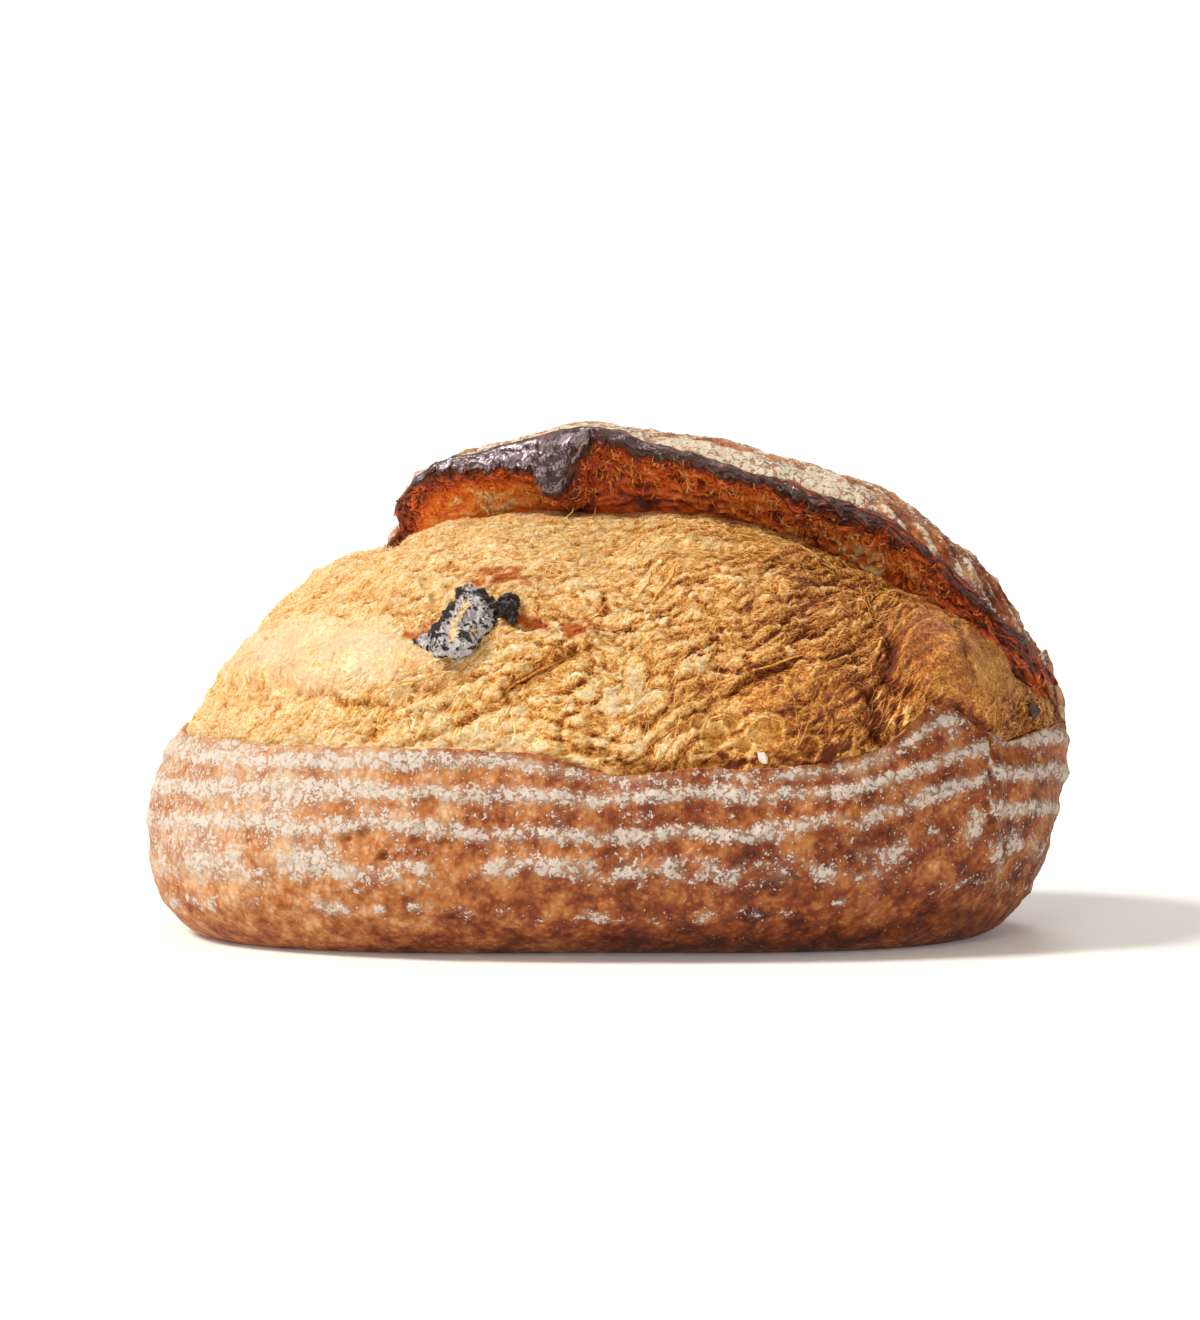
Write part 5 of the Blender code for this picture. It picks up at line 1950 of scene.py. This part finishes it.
@dataclass
class DriedFruit:
    """The crumpled dark fruit in the bloom: three lobes that run into each other, in one wrinkled skin."""

    finish: bpy.types.Material
    depth: float = -68.5
    sink: float = 0.6
    slant: float = math.radians(43.0)
    rows: int = 100
    columns: int = 180
    crumple: Noise = field(default_factory=lambda: Noise(53))

    def _lobe(self, lobe: FruitLobe) -> Grid:
        """A cushion: the edge drawn in by the sine of the turn from front to back, thick by its cosine.

        Args:
            lobe: the lobe's edge and place.

        Returns:
            the lobe's points, by row and column.
        """
        scale = 1.0 + self.depth / CAMERA_RANGE
        middle = np.array(lobe.middle)
        edge = (np.array(lobe.edge) - middle) * scale
        edge[:, 1] /= math.sin(self.slant)
        ring = np.concatenate([edge[-3:], edge, edge[:3]])
        at = np.linspace(3.0, len(edge) + 3.0, self.columns + 1)
        outline = through(np.arange(len(ring)), ring, at)
        outline[-1] = outline[0]
        turn = np.linspace(0.0, math.pi, self.rows + 1)[:, None]
        x, y = outline[:, 0] * np.sin(turn) ** 0.8, outline[:, 1] * np.sin(turn) ** 0.8
        z = lobe.thick * np.cos(turn) + 0 * x
        c, s = math.cos(self.slant), math.sin(self.slant)
        eye_x, _, eye_z = CAMERA_SPOT
        place = (eye_x + (middle[0] - eye_x) * scale, self.depth, eye_z + (middle[1] - eye_z) * scale)
        return np.stack([x, y * c - z * s, y * s + z * c], -1) + np.array(place) - self.sink * np.array([0, -s, c])

    def build(self) -> None:
        """Builds the lobes, wrinkles them along their normals and joins them into one piece."""
        grids, faces, values, first = [], [], {"crumbed": [], "dusted": []}, 0
        for lobe in FRUIT_LOBES:
            grid = self._lobe(lobe)
            warp = grid + 1.2 * np.stack([self.crumple.smooth(grid / 3.0 + shift) for shift in (0.0, 5.0, 9.0)], -1)
            folds = self.crumple.ridged(warp / 5.2, 2)
            creases = self.crumple.ridged(warp / np.array([1.9, 1.9, 2.6]), 2)
            out = grid_normals(grid) * -1.0
            grid = grid + out * (2.2 * (folds - 0.6) + 0.9 * (creases - 0.6))[..., None]
            grid[0], grid[-1] = grid[0].mean(axis=0), grid[-1].mean(axis=0)
            across, up = seen(grid)
            strip = line_distance(across, up, ((-38.5, 89.0), (-41.8, 84.5), (-42.6, 79.5)))[0]
            patch = np.hypot((across + 36.0) / 3.6, (up - 81.6) / 2.4)
            crumbed = 0.66 * np.exp(-((strip / 2.1) ** 2)) + 0.56 * np.exp(-(patch**2)) - 0.3 * (creases - 0.5)
            flank = line_distance(across, up, ((-41.0, 92.6), (-43.4, 88.2), (-47.2, 82.0)))[0]
            top = line_distance(across, up, ((-34.6, 92.2), (-31.4, 89.4), (-29.8, 87.0)))[0]
            bare = np.maximum(np.exp(-((flank / 1.3) ** 2)), np.exp(-((top / 1.2) ** 2)))
            bare = np.maximum(bare, smooth_step((across + 31.2) / 1.5))
            dusted = 0.5 + 1.5 * (creases - 0.55) + 0.7 * (folds - 0.55) - 0.75 * bare
            number = np.arange(grid[..., 0].size).reshape(grid.shape[:2])
            corners = (number[:-1, :-1], number[1:, :-1], number[1:, 1:], number[:-1, 1:])
            faces.append(np.stack(corners, -1).reshape(-1, 4) + first)
            first += number.size
            grids.append(grid.reshape(-1, 3))
            values["crumbed"].append((crumbed * (1 - bare)).ravel())
            values["dusted"].append(dusted.ravel())
        lists = {key: np.concatenate(value) for key, value in values.items()}
        piece = mesh_object("fruit_skin", np.concatenate(grids), np.concatenate(faces), lists, True)
        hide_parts("dark_fruit")
        dress(piece, self.finish)


@dataclass
class Studio:
    """White floor and soft daylight from the upper left, as for a catalogue picture."""

    lens: float = 150.0
    sensor: float = 36.0
    # The angle that each light covers, which softens the edges of the shadows.
    spread: float = math.radians(18.0)
    # The glow of the floor, as of a lit table, which keeps it white round the soft shadow.
    glow: float = 0.1
    # Each light's name, where it comes from, its power and its tint.
    lights: tuple[tuple, ...] = (
        ("key", (-0.72, -0.26, 0.8), 3.45, "#FFF9F0"),
        ("front", (-0.25, -0.95, 0.35), 0.62, "#FFF6EA"),
        ("back", (0.1, 0.75, 0.9), 0.8, "#FFFFFF"),
    )

    def _light(self, name: str, toward: tuple[float, ...], power: float, tint: str) -> None:
        """Adds a soft distant light.

        Args:
            name: the light's name.
            toward: the direction that it comes from.
            power: its strength.
            tint: its colour.
        """
        lamp = bpy.data.lights.new(name, "SUN")
        lamp.energy, lamp.angle, lamp.color = power, self.spread, linear(tint)[:3]
        made = bpy.data.objects.new(name, lamp)
        bpy.context.scene.collection.objects.link(made)
        made.rotation_mode = "QUATERNION"
        made.rotation_quaternion = (-Vector(toward)).to_track_quat("-Z", "Y")

    def build(self) -> None:
        """Builds the floor, the lights, the white surroundings and the camera."""
        scene = bpy.context.scene
        scene.view_settings.view_transform = "Standard"
        half = 3.0
        points = np.array([(-half, -half, 0), (half, -half, 0), (half, half, 0), (-half, half, 0)]) / MM
        floor = mesh_object("floor", points, np.array([[0, 1, 2, 3]]), {}, False)
        material, tree = new_material("white_paper")
        shader = add_node(
            tree, "ShaderNodeBsdfPrincipled",
            {
                "Base Color": linear("#F3F4F4"), "Roughness": 0.9, "Specular IOR Level": 0.1,
                "Emission Color": linear("#FFFFFF"), "Emission Strength": self.glow,
            },
        )
        add_node(tree, "ShaderNodeOutputMaterial", None, {"Surface": shader.outputs[0]})
        floor.data.materials.append(material)
        for light in self.lights:
            self._light(*light)
        world = bpy.data.worlds.new("white_surroundings")
        scene.world = world
        world.use_nodes = True
        tree = world.node_tree
        tree.nodes.clear()
        path = add_node(tree, "ShaderNodeLightPath")
        around = add_node(tree, "ShaderNodeBackground", {"Color": linear("#FFF0DE"), "Strength": 0.45})
        behind = add_node(tree, "ShaderNodeBackground", {"Color": (1, 1, 1, 1), "Strength": 1.1})
        mixed = add_node(
            tree, "ShaderNodeMixShader", None,
            {0: path.outputs["Is Camera Ray"], 1: around.outputs[0], 2: behind.outputs[0]},
        )
        add_node(tree, "ShaderNodeOutputWorld", None, {"Surface": mixed.outputs[0]})
        camera = bpy.data.cameras.new("camera")
        camera.lens, camera.sensor_width = self.lens, self.sensor
        made = bpy.data.objects.new("camera", camera)
        scene.collection.objects.link(made)
        made.location = Vector(CAMERA_SPOT) * MM
        made.rotation_mode = "QUATERNION"
        aim = Vector(CAMERA_TARGET) * MM - made.location
        made.rotation_quaternion = aim.to_track_quat("-Z", "Y")
        scene.camera = made


def main() -> None:
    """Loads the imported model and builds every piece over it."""
    logging.basicConfig(level=logging.INFO, format="%(message)s")
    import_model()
    form = LoafForm()
    crust, crumb = CrustFinish().build(), CrumbFinish().build()
    Crust(form, FlourRings(), crust).build()
    char = EarFinish().build()
    bloom = Bloom(form, crumb).build()
    ear = EarUnderside(form, char).build()
    tilt, paled = THREAD_TILT, (0.55, 0.13)
    Shreds("crumb_films", crumb, FILM, "toast", (1.0, 0.06), 380, tilt, 0.5, (0.4, 0.03), (0.8, 0.42), 7).build(bloom)
    Shreds("crumb_fuzz", crumb, FUZZ, "toast", paled, 3900, tilt, 1.3, (0.14, 0.2), (0.75, 0.93), 8).build(bloom)
    Shreds("crumb_threads", crumb, THREAD, "toast", paled, 3900, tilt, 0.6, (0.2, 0.03), (0.94, 0.88), 9).build(bloom)
    Shreds("ear_webs", char, WEB, "char", (0.85, 0.06), 1300, -0.5, 0.9, (0.24, 0.15), (0.86, 0.74), 10).build(ear)
    Shreds("ear_curls", char, CURL, "char", (0.15, 0.12), 520, 0.6, 1.6, (0.53, 0.2), (0.82, 0.62), 12).build(ear)
    Shreds("ear_ribbons", char, RIBBON, "char", (0.5, 0.4), 90, 0.0, 0.2, (0.66, 0.4), (0.93, 0.95), 11).build(ear)
    Strands(crumb).build(bloom)
    Scraps(FlourFinish().build(), char, crust).build(bloom)
    DriedFruit(FruitFinish().build()).build()
    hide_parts("loaf")
    Studio().build()


if __name__ == "__main__":
    main()
